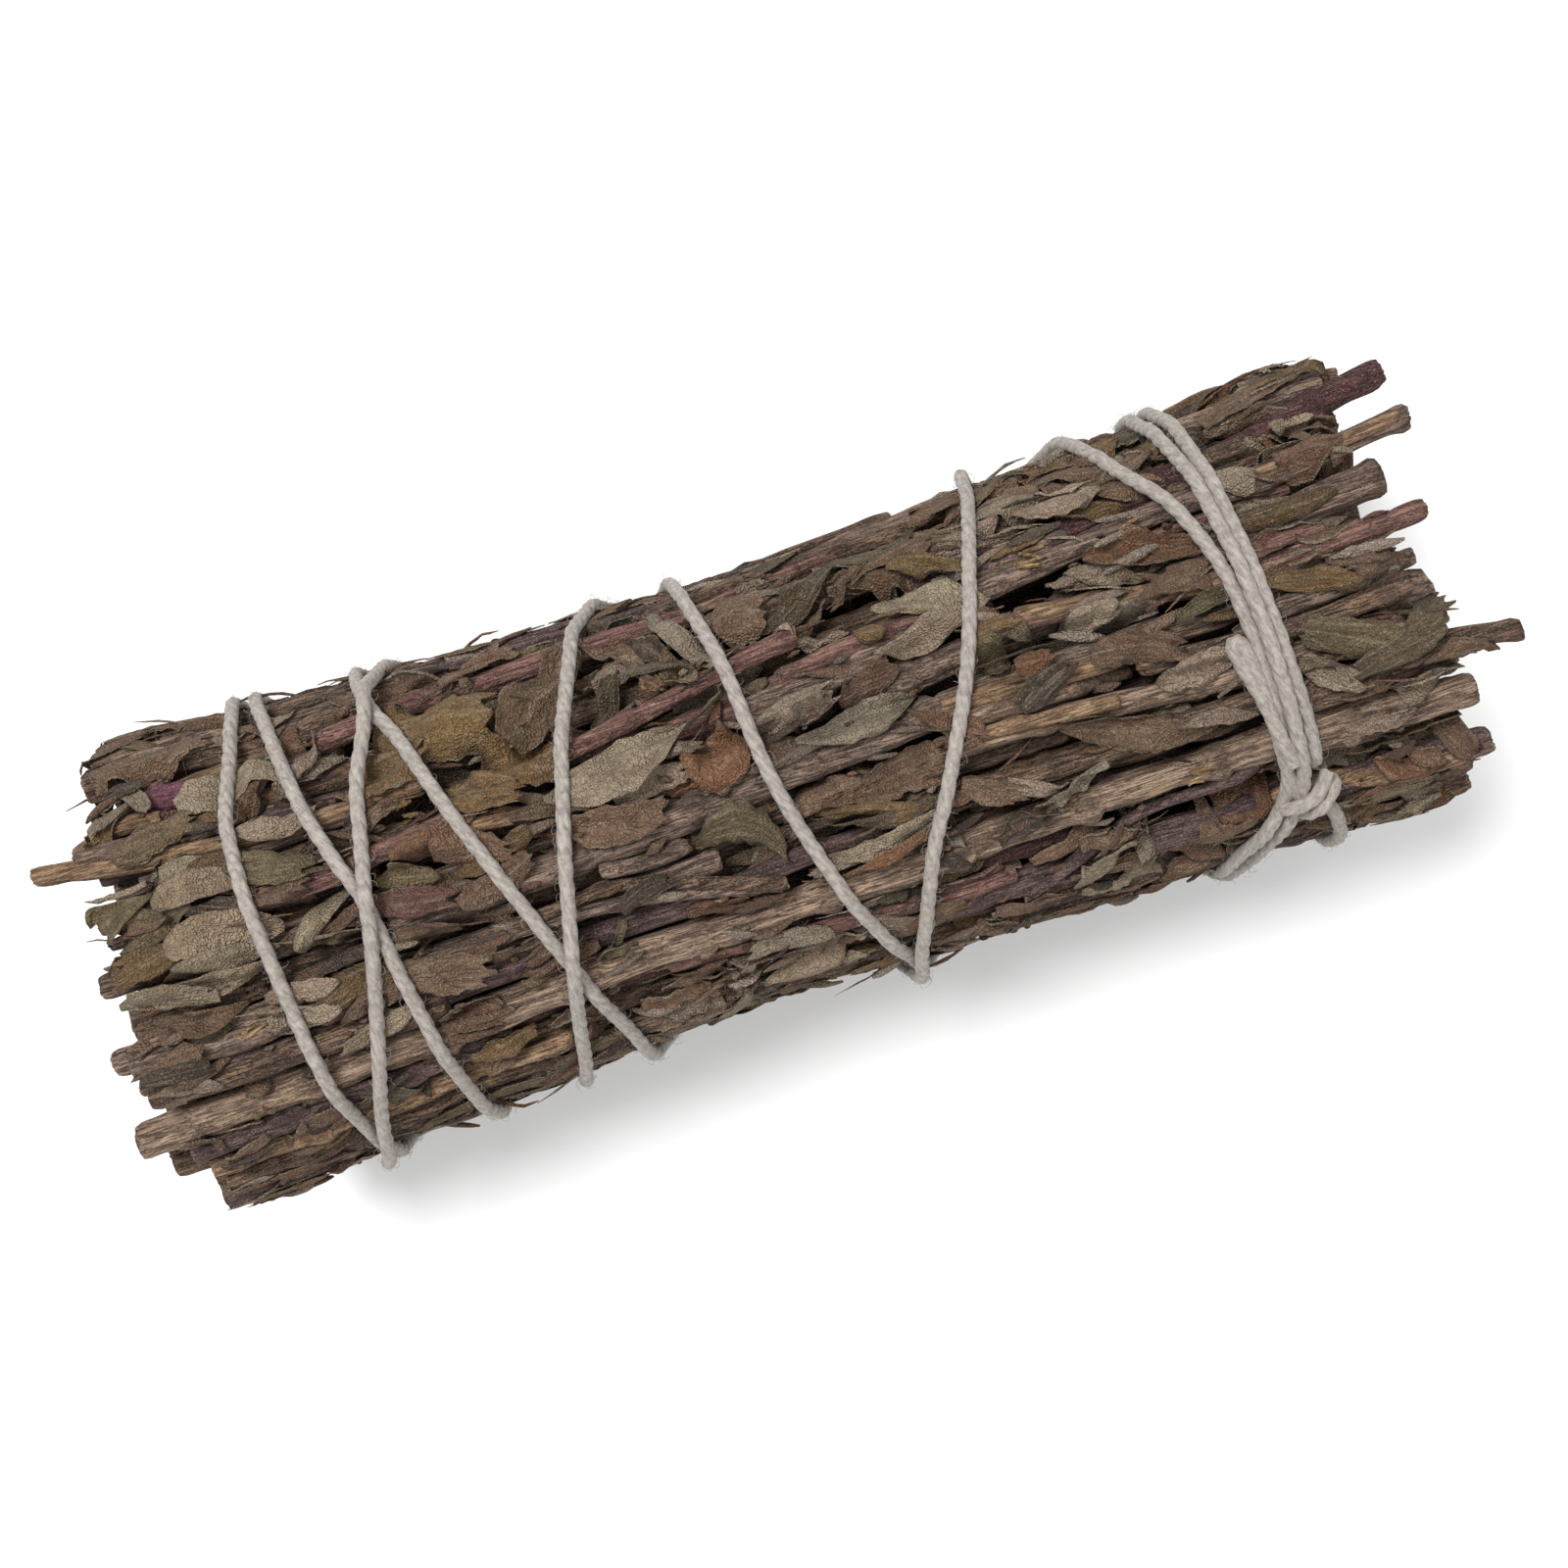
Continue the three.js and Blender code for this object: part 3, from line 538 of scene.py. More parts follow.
class Skin:
    """How far out the bundle reaches at each x and angle. It grows as pieces are laid on it.

    laid counts the pieces there, lid is how far out they may reach, and free is 0 at the string and
    1 well away from it.
    """

    STEP_X = 0.25
    START_X = -60.0
    COUNT_X = 481
    COUNT_A = 360

    def __init__(self):
        self.reach = np.full((self.COUNT_X, self.COUNT_A), 4.0)
        self.laid = np.zeros((self.COUNT_X, self.COUNT_A))
        self.lid = np.full((self.COUNT_X, self.COUNT_A), 99.0)
        self.free = np.ones((self.COUNT_X, self.COUNT_A))
        self.x = self.START_X + self.STEP_X * np.arange(self.COUNT_X)

    def copy(self):
        twin = Skin()
        twin.reach, twin.laid, twin.lid, twin.free = self.reach.copy(), self.laid.copy(), self.lid, self.free
        return twin

    def close_lid(self, spare):
        """Keeps what is laid from here on within the bundle's outline and a little to spare."""
        wide = self.reach
        for turn in (3, 5, 8):
            wide = np.max([np.roll(wide, k, axis=1) for k in (-turn, 0, turn)], axis=0)
        for step in (2, 4):
            padded = np.pad(wide, ((step, step), (0, 0)), mode="edge")
            wide = np.max([padded[: -2 * step], wide, padded[2 * step :]], axis=0)
        soft = np.mean([np.roll(wide, k, axis=1) for k in range(-12, 13, 2)], axis=0)
        self.lid = soft + spare

    def add_stem(self, line, radius):
        rows = np.nonzero((self.x >= line[0, 0]) & (self.x <= line[-1, 0]))[0]
        y, z = (np.interp(self.x[rows], line[:, 0], line[:, i])[:, None] for i in (1, 2))
        turn = np.radians(np.arange(self.COUNT_A))
        outward = y * np.sin(turn) + z * np.cos(turn)
        across = y * np.cos(turn) - z * np.sin(turn)
        inside = radius**2 - across**2
        reach = np.where(inside > 0, outward + np.sqrt(np.maximum(inside, 0)), 0)
        self.reach[rows] = np.maximum(self.reach[rows], reach)

    def read(self, grid, x, degrees):
        row = np.clip((x - self.START_X) / self.STEP_X, 0, self.COUNT_X - 1.001)
        column = np.mod(degrees, 360.0)
        i, j = row.astype(int), column.astype(int) % 360
        p, q = row - i, column - np.floor(column)
        k = (j + 1) % 360
        low = grid[i, j] * (1 - q) + grid[i, k] * q
        high = grid[i + 1, j] * (1 - q) + grid[i + 1, k] * q
        return low * (1 - p) + high * p

    def press(self, x, degrees, reach):
        """Raises the skin to a laid piece, and counts the piece."""
        i = np.clip(np.round((x - self.START_X) / self.STEP_X).astype(int), 0, self.COUNT_X - 1)
        j = np.mod(np.round(degrees).astype(int), 360)
        top = np.zeros_like(self.reach)
        for di, dj in product((-1, 0, 1), repeat=2):
            ii = np.clip(i + di, 0, self.COUNT_X - 1)
            np.maximum.at(top, (ii, (j + dj) % 360), reach)
        self.laid += top > 0
        self.reach = np.maximum(self.reach, top)


# ---------------------------------------------------------------- string

# The string's route: [winding angle, x]. It starts at the knot, spirals to the plain end, and
# crosses back over itself.
STRING_ROUTE = [
    [-41, 35.9], [-25, 35.8], [0, 35.4], [40, 35.0], [90, 34.8], [180, 32.5], [270, 29.5],
    [300, 31.6], [315, 33.6], [335, 33.9], [360, 33.7], [375, 33.2], [390, 32.1], [405, 30.2], [420, 28.8],
    [450, 27.0], [540, 15.8], [630, 6.4], [655, 4.7], [690, 1.3], [720, -0.8], [750, -1.6], [780, -3.0],
    [810, -4.1], [900, -9.9], [990, -15.3], [1015, -16.0], [1035, -17.0], [1050, -18.0], [1065, -19.3],
    [1080, -20.9], [1100, -23.1], [1120, -25.1], [1135, -26.9], [1170, -28.2], [1260, -28.0],
    [1350, -28.0], [1380, -28.5], [1410, -29.0], [1440, -29.9], [1455, -31.3], [1470, -32.7],
    [1500, -34.6], [1530, -36.0], [1620, -36.6], [1710, -36.1], [1740, -36.4], [1770, -37.0],
    [1800, -37.5], [1830, -37.8], [1860, -37.2], [1890, -37.7], [1980, -39.4], [2070, -37.5],
    [2095, -35.9], [2110, -34.7], [2130, -32.6], [2150, -30.6], [2160, -29.8], [2175, -29.0],
    [2190, -28.3], [2210, -26.6], [2250, -25.7], [2340, -23.7], [2430, -21.5], [2460, -20.0],
    [2475, -19.2], [2490, -18.2], [2505, -17.0], [2520, -15.8], [2550, -13.4], [2580, -11.1],
    [2610, -8.9], [2700, -2.0], [2790, 4.5], [2815, 5.4], [2830, 6.5], [2850, 8.3], [2870, 11.4],
    [2890, 14.4], [2910, 16.6], [2940, 19.0], [2970, 20.2], [3060, 24.7], [3150, 30.6], [3180, 33.1],
    [3195, 34.6], [3215, 34.7], [3240, 34.5], [3280, 33.9], [3330, 33.5], [3420, 36.4], [3510, 38.2],
    [3535, 37.6], [3549, 36.4],
]
# The folded end that lies beside the collar, and the turn that ties the knot: [angle, x, height
# over the turns there].
FOLDED_END = [
    [-47, 34.5, 0.3], [-42, 34.1, 0.1], [-34, 33.7, 0.0], [-24, 33.5, 0.0], [-14, 33.2, 0.0],
    [-7, 32.9, 0.1], [-3.5, 32.5, 0.1], [-4.5, 32.1, 0.1], [-10, 32.4, 0.0], [-17, 33.0, 0.15],
    [-26, 33.5, 0.6], [-34, 34.1, 0.8],
]
KNOT_TURN = [
    [-42, 36.6, 0.1], [-44, 35.6, 1.15], [-46, 34.4, 1.3], [-48, 33.3, 0.5], [-49.5, 33.6, -0.3],
    [-48, 35.2, -0.5], [-46, 36.6, -0.2], [-45, 37.0, 0.4], [-46.5, 36.2, 1.2], [-49, 35.2, 1.2],
    [-52, 34.6, 0.4],
]


STRING_STEP = 1.5  # degrees of winding from one sample to the next
TIGHTENING_ROUNDS = 500
COLLAR_X = 35
FIBRES_PER_M2 = 8.0e5
OWN_SAMPLES = 200  # nearest samples on the same turn, which the string can't lie on


def through(points, step=None):
    """Rows of a smooth curve through rows of numbers, at even steps of the first number if one is given."""
    points = np.array(points, dtype=float)
    place = np.arange(len(points))
    fine = np.linspace(0, len(points) - 1, len(points) * 24)
    i = np.clip(fine.astype(int), 0, len(points) - 2)
    t = (fine - place[i])[:, None]
    padded = np.vstack([2 * points[0] - points[1], points, 2 * points[-1] - points[-2]])
    a, b, c, d = (padded[i + k] for k in range(4))
    square, cube = 2 * a - 5 * b + 4 * c - d, 3 * b - a - 3 * c + d
    curve = 0.5 * (2 * b + (c - a) * t + square * t**2 + cube * t**3)
    if step is None:
        return curve
    even = np.arange(points[0, 0], points[-1, 0], step)
    others = [np.interp(even, curve[:, 0], curve[:, k]) for k in range(1, points.shape[1])]
    return np.stack([even] + others, axis=-1)


def draw_tight(least):
    """Distances from the axis of a taut string that lies no lower than least, sample by sample."""
    inverse = 1 / least
    lean = 2 * math.cos(math.radians(STRING_STEP))
    for _ in range(TIGHTENING_ROUNDS):
        middle = (inverse[:-2] + inverse[2:]) / lean
        inverse[1:-1] = np.minimum(inverse[1:-1], middle)
    return 1 / inverse


def wind_string(skin):
    """The string's samples on the stems, as [winding angle, x, distance from the axis]."""
    angle, x = through(STRING_ROUTE, STRING_STEP).T
    beside = product((-0.45, 0, 0.45), (-STRING_STEP, 0, STRING_STEP))
    edges = [skin.read(skin.reach, x + side, angle + turn) for side, turn in beside]
    ground = np.max(edges, axis=0) + STRING_RADIUS + STRING_BED
    reach = draw_tight(ground)
    for _ in range(3):
        least = ground.copy()
        for i in range(len(x)):
            others = slice(0, max(0, i - OWN_SAMPLES))
            across = x[others] - x[i]
            turn = np.mod(angle[others] - angle[i] + 180, 360) - 180
            apart = across**2 + (np.radians(turn) * reach[others]) ** 2
            near = apart < STRING_DIAMETER**2
            if near.any():
                over = reach[others][near] + np.sqrt(STRING_DIAMETER**2 - apart[near])
                least[i] = max(least[i], over.max())
        reach = draw_tight(least)
    return np.stack([angle, x, reach], axis=-1)


LID_REACH = 4.0  # how far from the string it presses leaves, along the bundle
LID_TURN = 13  # and in degrees round it


def put_lid(skin, samples):
    """Marks how high leaves may stand near the string: pressed flat under it, freer beside it."""
    for angle, x, reach in samples[::2]:
        rows = np.nonzero(np.abs(skin.x - x) < LID_REACH)[0]
        columns = np.arange(int(angle) - LID_TURN, int(angle) + LID_TURN + 1)
        across = skin.x[rows][:, None] - x
        turn = np.radians(columns - angle)[None] * reach
        away = np.hypot(across, turn)
        lid = reach - STRING_RADIUS + 0.12 + 0.55 * np.maximum(away - 0.45, 0)
        place = np.ix_(rows, np.mod(columns, 360))
        skin.lid[place] = np.minimum(skin.lid[place], lid)
        skin.free[place] = np.minimum(skin.free[place], np.clip((away - 0.9) / 2.0, 0, 1))


def new_group(name, base, sizes, counts=()):
    """A geometry node tree with its named inputs. Returns it and those inputs."""
    tree = bpy.data.node_groups.new(name, "GeometryNodeTree")
    sockets = [("Geometry", "OUTPUT", "Geometry"), (base, "INPUT", "Geometry")]
    sockets += [(size, "INPUT", "Float") for size in sizes] + [(count, "INPUT", "Int") for count in counts]
    for label, way, kind in sockets:
        tree.interface.new_socket(label, in_out=way, socket_type="NodeSocket" + kind)
    return tree, add(tree, "NodeGroupInput").outputs


def changed(tree, kind, geometry, links=None, **settings):
    """Passes geometry through a node."""
    return put(tree, "GeometryNode" + kind, {"Geometry": geometry, **(links or {})}, **settings)


def circle(tree, sides, radius):
    return put(tree, "GeometryNodeCurvePrimitiveCircle", {"Resolution": sides, "Radius": radius})


def swept(tree, curve, profile, **more):
    links = {"Curve": curve, "Profile Curve": profile, "Fill Caps": True, **more}
    return put(tree, "GeometryNodeCurveToMesh", links)


def captured(tree, geometry, label, value):
    """Keeps a value on the points of a curve. Returns the curve and the kept value."""
    kept = add(tree, "GeometryNodeCaptureAttribute", {"Geometry": geometry}, domain="POINT")
    kept.capture_items.new("FLOAT", label)
    tree.links.new(value, kept.inputs[1])
    return kept.outputs[0], kept.outputs[1]


def finish_group(tree, geometry, material):
    """Ends a tree with its material. The geometry's instances are real by then."""
    add(tree, "NodeGroupOutput", {0: changed(tree, "SetMaterial", geometry, {"Material": material})})
    return tree


def string_tree(material):
    """Geometry nodes: a path becomes a string of twisted plies."""
    sizes = ("Ply Radius", "Ply Offset", "Pitch", "Step")
    tree, given = new_group("Twisted string", "Path", sizes, ("Plies",))
    line = put(tree, "GeometryNodeMeshToCurve", {"Mesh": given["Path"]})
    line = put(tree, "GeometryNodeResampleCurve", {"Curve": line, "Length": given["Step"]}, mode="LENGTH")
    links = {"Geometry": line, "Amount": given["Plies"]}
    copies = add(tree, "GeometryNodeDuplicateElements", links, domain="SPLINE")
    ply = copies.outputs["Duplicate Index"]
    place = add(tree, "GeometryNodeSplineParameter").outputs
    share = maths(tree, "DIVIDE", ply, given["Plies"])
    twist = maths(tree, "SUBTRACT", share, maths(tree, "DIVIDE", place["Length"], given["Pitch"]))
    links = {
        "Vector": put(tree, "GeometryNodeInputNormal"),
        "Axis": put(tree, "GeometryNodeInputTangent"),
        "Angle": times(tree, twist, 2 * math.pi),
    }
    links = {0: put(tree, "ShaderNodeVectorRotate", links), "Scale": given["Ply Offset"]}
    offset = put(tree, "ShaderNodeVectorMath", links, operation="SCALE")
    plies = changed(tree, "SetPosition", copies.outputs[0], {"Offset": offset})
    plies, along = captured(tree, plies, "Length", maths(tree, "DIVIDE", place["Length"], MM))
    profile, turn = captured(tree, circle(tree, 9, given["Ply Radius"]), "Turn", place["Factor"])
    fibre = vector_of(tree, along, maths(tree, "PINGPONG", turn, 0.5), ply)
    links = {"Name": "fibre", "Value": fibre}
    string = swept(tree, plies, profile)
    string = changed(tree, "StoreNamedAttribute", string, links, data_type="FLOAT_VECTOR", domain="POINT")
    string = changed(tree, "SetShadeSmooth", string)
    return finish_group(tree, changed(tree, "RealizeInstances", string), material)


def fibre_tree(material):
    """Geometry nodes: loose cotton fibres stand off a string's surface."""
    tree, given = new_group("Loose fibres", "String", ("Per Square Metre", "Length", "Thickness"))
    links = {"Mesh": given["String"], "Density": given["Per Square Metre"], "Seed": SEED}
    points = add(tree, "GeometryNodeDistributePointsOnFaces", links)
    links = {
        "Resolution": 4, "Start": (0, 0, 0), "Start Handle": (0, 0, 0.5),
        "End Handle": (0.5, 0, 0.6), "End": (0.9, 0.2, 0.35),
    }
    line = put(tree, "GeometryNodeCurvePrimitiveBezierSegment", links)
    line = changed(tree, "Transform", line, {"Scale": vector_of(tree, *[given["Length"]] * 3)})
    hair = swept(tree, line, circle(tree, 3, given["Thickness"]))
    links = {"Min": 0.0, "Max": 6.283, "Seed": SEED}
    spin = add(tree, "FunctionNodeRandomValue", links, data_type="FLOAT").outputs[1]
    turned = put(tree, "FunctionNodeAxisAngleToRotation", {"Axis": (0, 0, 1), "Angle": spin})
    links = {"Rotation": points.outputs["Rotation"], "Rotate By": turned}
    facing = put(tree, "FunctionNodeRotateRotation", links, rotation_space="LOCAL")
    links = {2: 0.4, 3: 1.3, "Seed": SEED + 1}
    size = add(tree, "FunctionNodeRandomValue", links, data_type="FLOAT").outputs[1]
    links = {"Points": points.outputs[0], "Instance": hair, "Rotation": facing, "Scale": size}
    placed = put(tree, "GeometryNodeInstanceOnPoints", links)
    return finish_group(tree, changed(tree, "RealizeInstances", placed), material)


def grown(tree, base_mesh, name, **sizes):
    """Runs a geometry node tree on a mesh and returns the result as a plain mesh."""
    carrier = bpy.data.objects.new(name + "_base", base_mesh)
    bpy.context.scene.collection.objects.link(carrier)
    modifier = carrier.modifiers.new("nodes", "NODES")
    modifier.node_group = tree
    for item in tree.interface.items_tree:
        if item.in_out == "INPUT" and item.name in sizes:
            modifier[item.identifier] = sizes[item.name]
    evaluated = carrier.evaluated_get(bpy.context.evaluated_depsgraph_get())
    mesh = bpy.data.meshes.new_from_object(evaluated)
    mesh.name = name
    bpy.data.objects.remove(carrier)
    return mesh


def path_mesh(name, lines):
    corners = np.concatenate(lines)
    mesh = bpy.data.meshes.new(name)
    edges = []
    start = 0
    for line in lines:
        edges += [(start + i, start + i + 1) for i in range(len(line) - 1)]
        start += len(line)
    mesh.from_pydata((corners * MM).tolist(), edges, [])
    return mesh


def extra_strand(points, samples):
    """A strand of the collar, given as [angle, x, height over the turns there]."""
    angle, x, height = through(points).T
    around = samples[np.abs(samples[:, 1] - COLLAR_X) < 2]
    turns = [np.abs(np.mod(around[:, 0] - a + 180, 360) - 180) < 6 for a in angle]
    level = np.array([around[near][:, 2].mean() for near in turns])
    return on_bundle(x, angle, level + height)


def make_string(samples, cotton):
    """The whole binding as one piece of twisted plies, and the fibres that stand off it."""
    main = on_bundle(samples[:, 1], samples[:, 0], samples[:, 2] + 0.06)
    strands = [main, extra_strand(FOLDED_END, samples), extra_strand(KNOT_TURN, samples)]
    sizes = {
        "Ply Radius": PLY_RADIUS * MM, "Ply Offset": (STRING_RADIUS - PLY_RADIUS) * MM,
        "Pitch": PLY_PITCH * MM, "Step": 0.33 * MM, "Plies": PLIES,
    }
    mesh = grown(string_tree(cotton), path_mesh("string_path", strands), "string_plies", **sizes)
    new_piece("string_plies", mesh, cotton, ["binding_string"])
    sizes = {"Per Square Metre": FIBRES_PER_M2, "Length": 0.65 * MM, "Thickness": 0.012 * MM}
    fuzz = grown(fibre_tree(cotton), mesh.copy(), "string_fuzz", **sizes)
    places = np.empty(len(fuzz.vertices) * 3)
    fuzz.vertices.foreach_get("co", places)
    places[2::3] = np.maximum(places[2::3], 0.0)
    fuzz.vertices.foreach_set("co", places)
    new_piece("string_fuzz", fuzz, cotton)


# ---------------------------------------------------------------- leaves

# A leaf's outline from its base to its tip: share of the length, and half-width there as a share
# of half the leaf's width.
OUTLINES = {
    "blade": [(0, 0.10), (0.15, 0.50), (0.4, 1.0), (0.7, 0.80), (0.9, 0.40), (1, 0.05)],
    "oval": [(0, 0.15), (0.12, 0.65), (0.35, 0.95), (0.6, 1.0), (0.85, 0.70), (1, 0.10)],
    "blunt": [(0, 0.30), (0.1, 0.75), (0.3, 1.0), (0.75, 0.95), (0.93, 0.70), (1, 0.20)],
    "stalked": [(0, 0.09), (0.22, 0.12), (0.34, 0.55), (0.55, 1.0), (0.82, 0.80), (1, 0.08)],
    "strap": [(0, 0.50), (0.2, 0.90), (0.5, 1.0), (0.8, 0.85), (1, 0.30)],
    "torn": [(0, 0.45), (0.15, 0.80), (0.4, 1.0), (0.7, 0.85), (1, 0.65)],
    "kidney": [(0, 0.25), (0.1, 0.75), (0.3, 1.0), (0.7, 1.0), (0.9, 0.75), (1, 0.25)],
    "wedge": [(0, 0.05), (0.3, 0.40), (0.7, 0.85), (0.93, 1.0), (1, 0.60)],
}


def leaf_blade(form, length, width, random, rows, columns, shape):
    """A leaf laid flat: along, across and height of each corner, and its place in the outline.

    shape is what leaf_shape gives: ripple, pleat and crumple are heights in millimetres, and the
    others are shares of the half-width or the length.
    """
    t = np.linspace(0, 1, rows)[:, None]
    s = np.linspace(-1, 1, columns)[None, :]
    keys = np.array(OUTLINES[form])
    half = np.interp(t[:, 0], keys[:, 0], keys[:, 1])
    half = np.convolve(np.pad(half, 1, mode="edge"), [0.25, 0.5, 0.25], mode="valid")[:, None] * width / 2
    notches = 1 + shape["notch"] * np.sin(t * length * 5.0 + s * 1.5 + random.uniform(0, 6))
    notches *= 1 + 0.09 * Noise(random.integers(1 << 30))(t * length * 0.7, np.sign(s) * 3, 0.0)
    rim = np.abs(s) ** 4
    half = half * (1 + rim * (notches - 1))
    rolled = np.clip(np.abs(s) - 0.66, 0, 1) / 0.34
    across = s * half * (1 - 0.25 * abs(shape["roll"]) * rolled**2)
    deep = np.minimum(half, 1.6)
    height = shape["cup"] * s**2 * deep + shape["fold"] * np.abs(s) * deep
    height = height + shape["roll"] * 0.6 * rolled**1.5 * deep
    height = height + shape["arch"] * ((2 * t - 1) ** 2) * length * 0.10
    wave = np.sin(t * length * 1.1 + random.uniform(0, 6) + np.sign(s) * 0.8)
    height = height + shape["ripple"] * wave * np.abs(s) ** 1.5
    pleats = np.cos((t * length - np.abs(s) * half * 1.2) * 2 * np.pi / 1.25)
    height = height + shape["pleat"] * pleats * np.abs(s) * (1 - rim)
    height = height - 0.10 * bell(s, 0.16) * np.ones_like(t)
    crumple = Noise(random.integers(1 << 30))
    height = height + shape["crumple"] * crumple(t * length * 0.9, s * width * 0.55, 0.0)
    height = height + shape["crumple"] * 0.4 * crumple(t * length * 2.2, s * width * 1.3, 7.0)
    across = across + shape["bend"] * 4 * t * (1 - t) * length
    along = (t - 0.5) * length * np.ones_like(s)
    if form in ("torn", "wedge"):
        along = along + t**6 * 0.5 * Noise(random.integers(1 << 30))(s * width * 1.5, 0.0, 0.0)
    height = np.minimum(height - height.min(), 1.4)
    return along, across, height, t * length * np.ones_like(s), s * np.ones_like(t)


def draped(ground, rounds):
    """A sheet that rests on the ground's high places and spans between them."""
    sheet = ground.copy()
    for _ in range(rounds):
        padded = np.pad(sheet, 1, mode="edge")
        middle = (padded[:-2, 1:-1] + padded[2:, 1:-1] + padded[1:-1, :-2] + padded[1:-1, 2:]) / 4
        sheet = np.maximum(ground, middle)
    return sheet


def lay_leaf(skin, base, tip, width, tint, form, random, shape, grid=(28, 13), spare=0.0):
    """Lays one leaf on the skin from its base to its tip, and returns its closed surface."""
    middle = ((base[0] + tip[0]) / 2, (base[1] + tip[1]) / 2)
    level = float(skin.read(skin.reach, np.array(middle[0]), np.array(middle[1])))
    level = max(level, 12.0)
    per_degree = math.radians(1) * level
    run = (tip[0] - base[0], (tip[1] - base[1]) * per_degree)
    length = math.hypot(*run)
    c, s = run[0] / length, run[1] / length
    along, across, height, t, side = leaf_blade(form, length, width, random, *grid, shape)
    x = middle[0] + along * c - across * s
    degrees = middle[1] + (along * s + across * c) / per_degree
    ground = skin.read(skin.reach, x, degrees)
    sheet = draped(np.maximum(ground, level - 1.2), 30)
    floor = ground * shape["limp"] + sheet * (1 - shape["limp"])
    spare = spare * np.maximum(np.cos(np.radians(degrees)), 0) ** 2
    loose = 0.035 * skin.read(skin.laid, x, degrees) + spare
    lid = skin.read(skin.lid, x, degrees) + loose * skin.read(skin.free, x, degrees)
    room = np.maximum(lid, floor.min() - 3) - floor - height
    under = floor + height + room - SQUEEZE * np.logaddexp(0, room / SQUEEZE) + LEAF_GAP
    pressed = np.clip((lid - under) / 0.5, 0.25, 1)
    thick = LEAF_THICKNESS * pressed
    skin.press(x, degrees, np.minimum(under, floor + 0.35) + thick)
    top = on_bundle(x, degrees, under + thick)
    bottom = on_bundle(x, degrees, under)
    return closed_sheet(top, bottom, t, side, tint, random)


# Each leaf's own red, green and blue, as shares of its colour.
TINT_LEAST = (1.06, 1.05, 0.96)
TINT_MOST = (1.16, 1.13, 1.08)


def closed_sheet(top, bottom, t, side, tint, random):
    """Joins an upper and a lower grid of corners by a rim."""
    rows, columns = top.shape[:2]
    count = rows * columns
    lower = [tuple(count + c for c in face) for face in grid_faces(rows, columns)]
    upper = [tuple(c - count for c in face[::-1]) for face in lower]
    rim_loop = list(range(columns))
    rim_loop += [i * columns + columns - 1 for i in range(1, rows)]
    rim_loop += [(rows - 1) * columns + j for j in range(columns - 2, -1, -1)]
    rim_loop += [i * columns for i in range(rows - 2, 0, -1)]
    faces = upper + lower
    for a, b in zip(rim_loop, rim_loop[1:] + rim_loop[:1]):
        faces.append((a, b, b + count, a + count))
    corners = np.concatenate([top.reshape(-1, 3), bottom.reshape(-1, 3)])
    own = random.uniform(0, 10)
    blade = np.stack([t, side, np.full_like(t, own)], axis=-1).reshape(-1, 3)
    colour = np.array(tint) * random.uniform(0.84, 1.18) * random.uniform(TINT_LEAST, TINT_MOST)
    colours = np.tile(colour, (count, 1))
    # painted shade: the lower face is given 0.8 of the upper face's colour
    marks = {"blade": np.concatenate([blade, blade]), "tint": np.concatenate([colours, colours * 0.8])}
    return corners, faces, marks


def leaf_shape(random, **given):
    """How a leaf has dried: either puffed up with its edges turned down, or dished with them turned up."""
    puffed = random.uniform() < 0.55
    shape = dict(
        cup=random.uniform(-0.45, -0.2) if puffed else random.uniform(0.0, 0.3),
        fold=random.uniform(-0.1, 0.1),
        roll=random.uniform(-0.5, -0.2) if puffed else random.uniform(0.2, 1.0),
        arch=random.uniform(-0.15, 0.45),
        ripple=random.uniform(0.0, 0.25),
        pleat=random.uniform(0.03, 0.10),
        crumple=random.uniform(0.16, 0.36),
        bend=random.uniform(-0.08, 0.08),
        notch=random.uniform(0.02, 0.06),
        limp=random.uniform(0.2, 0.6),
    )
    shape.update(given)
    return shape


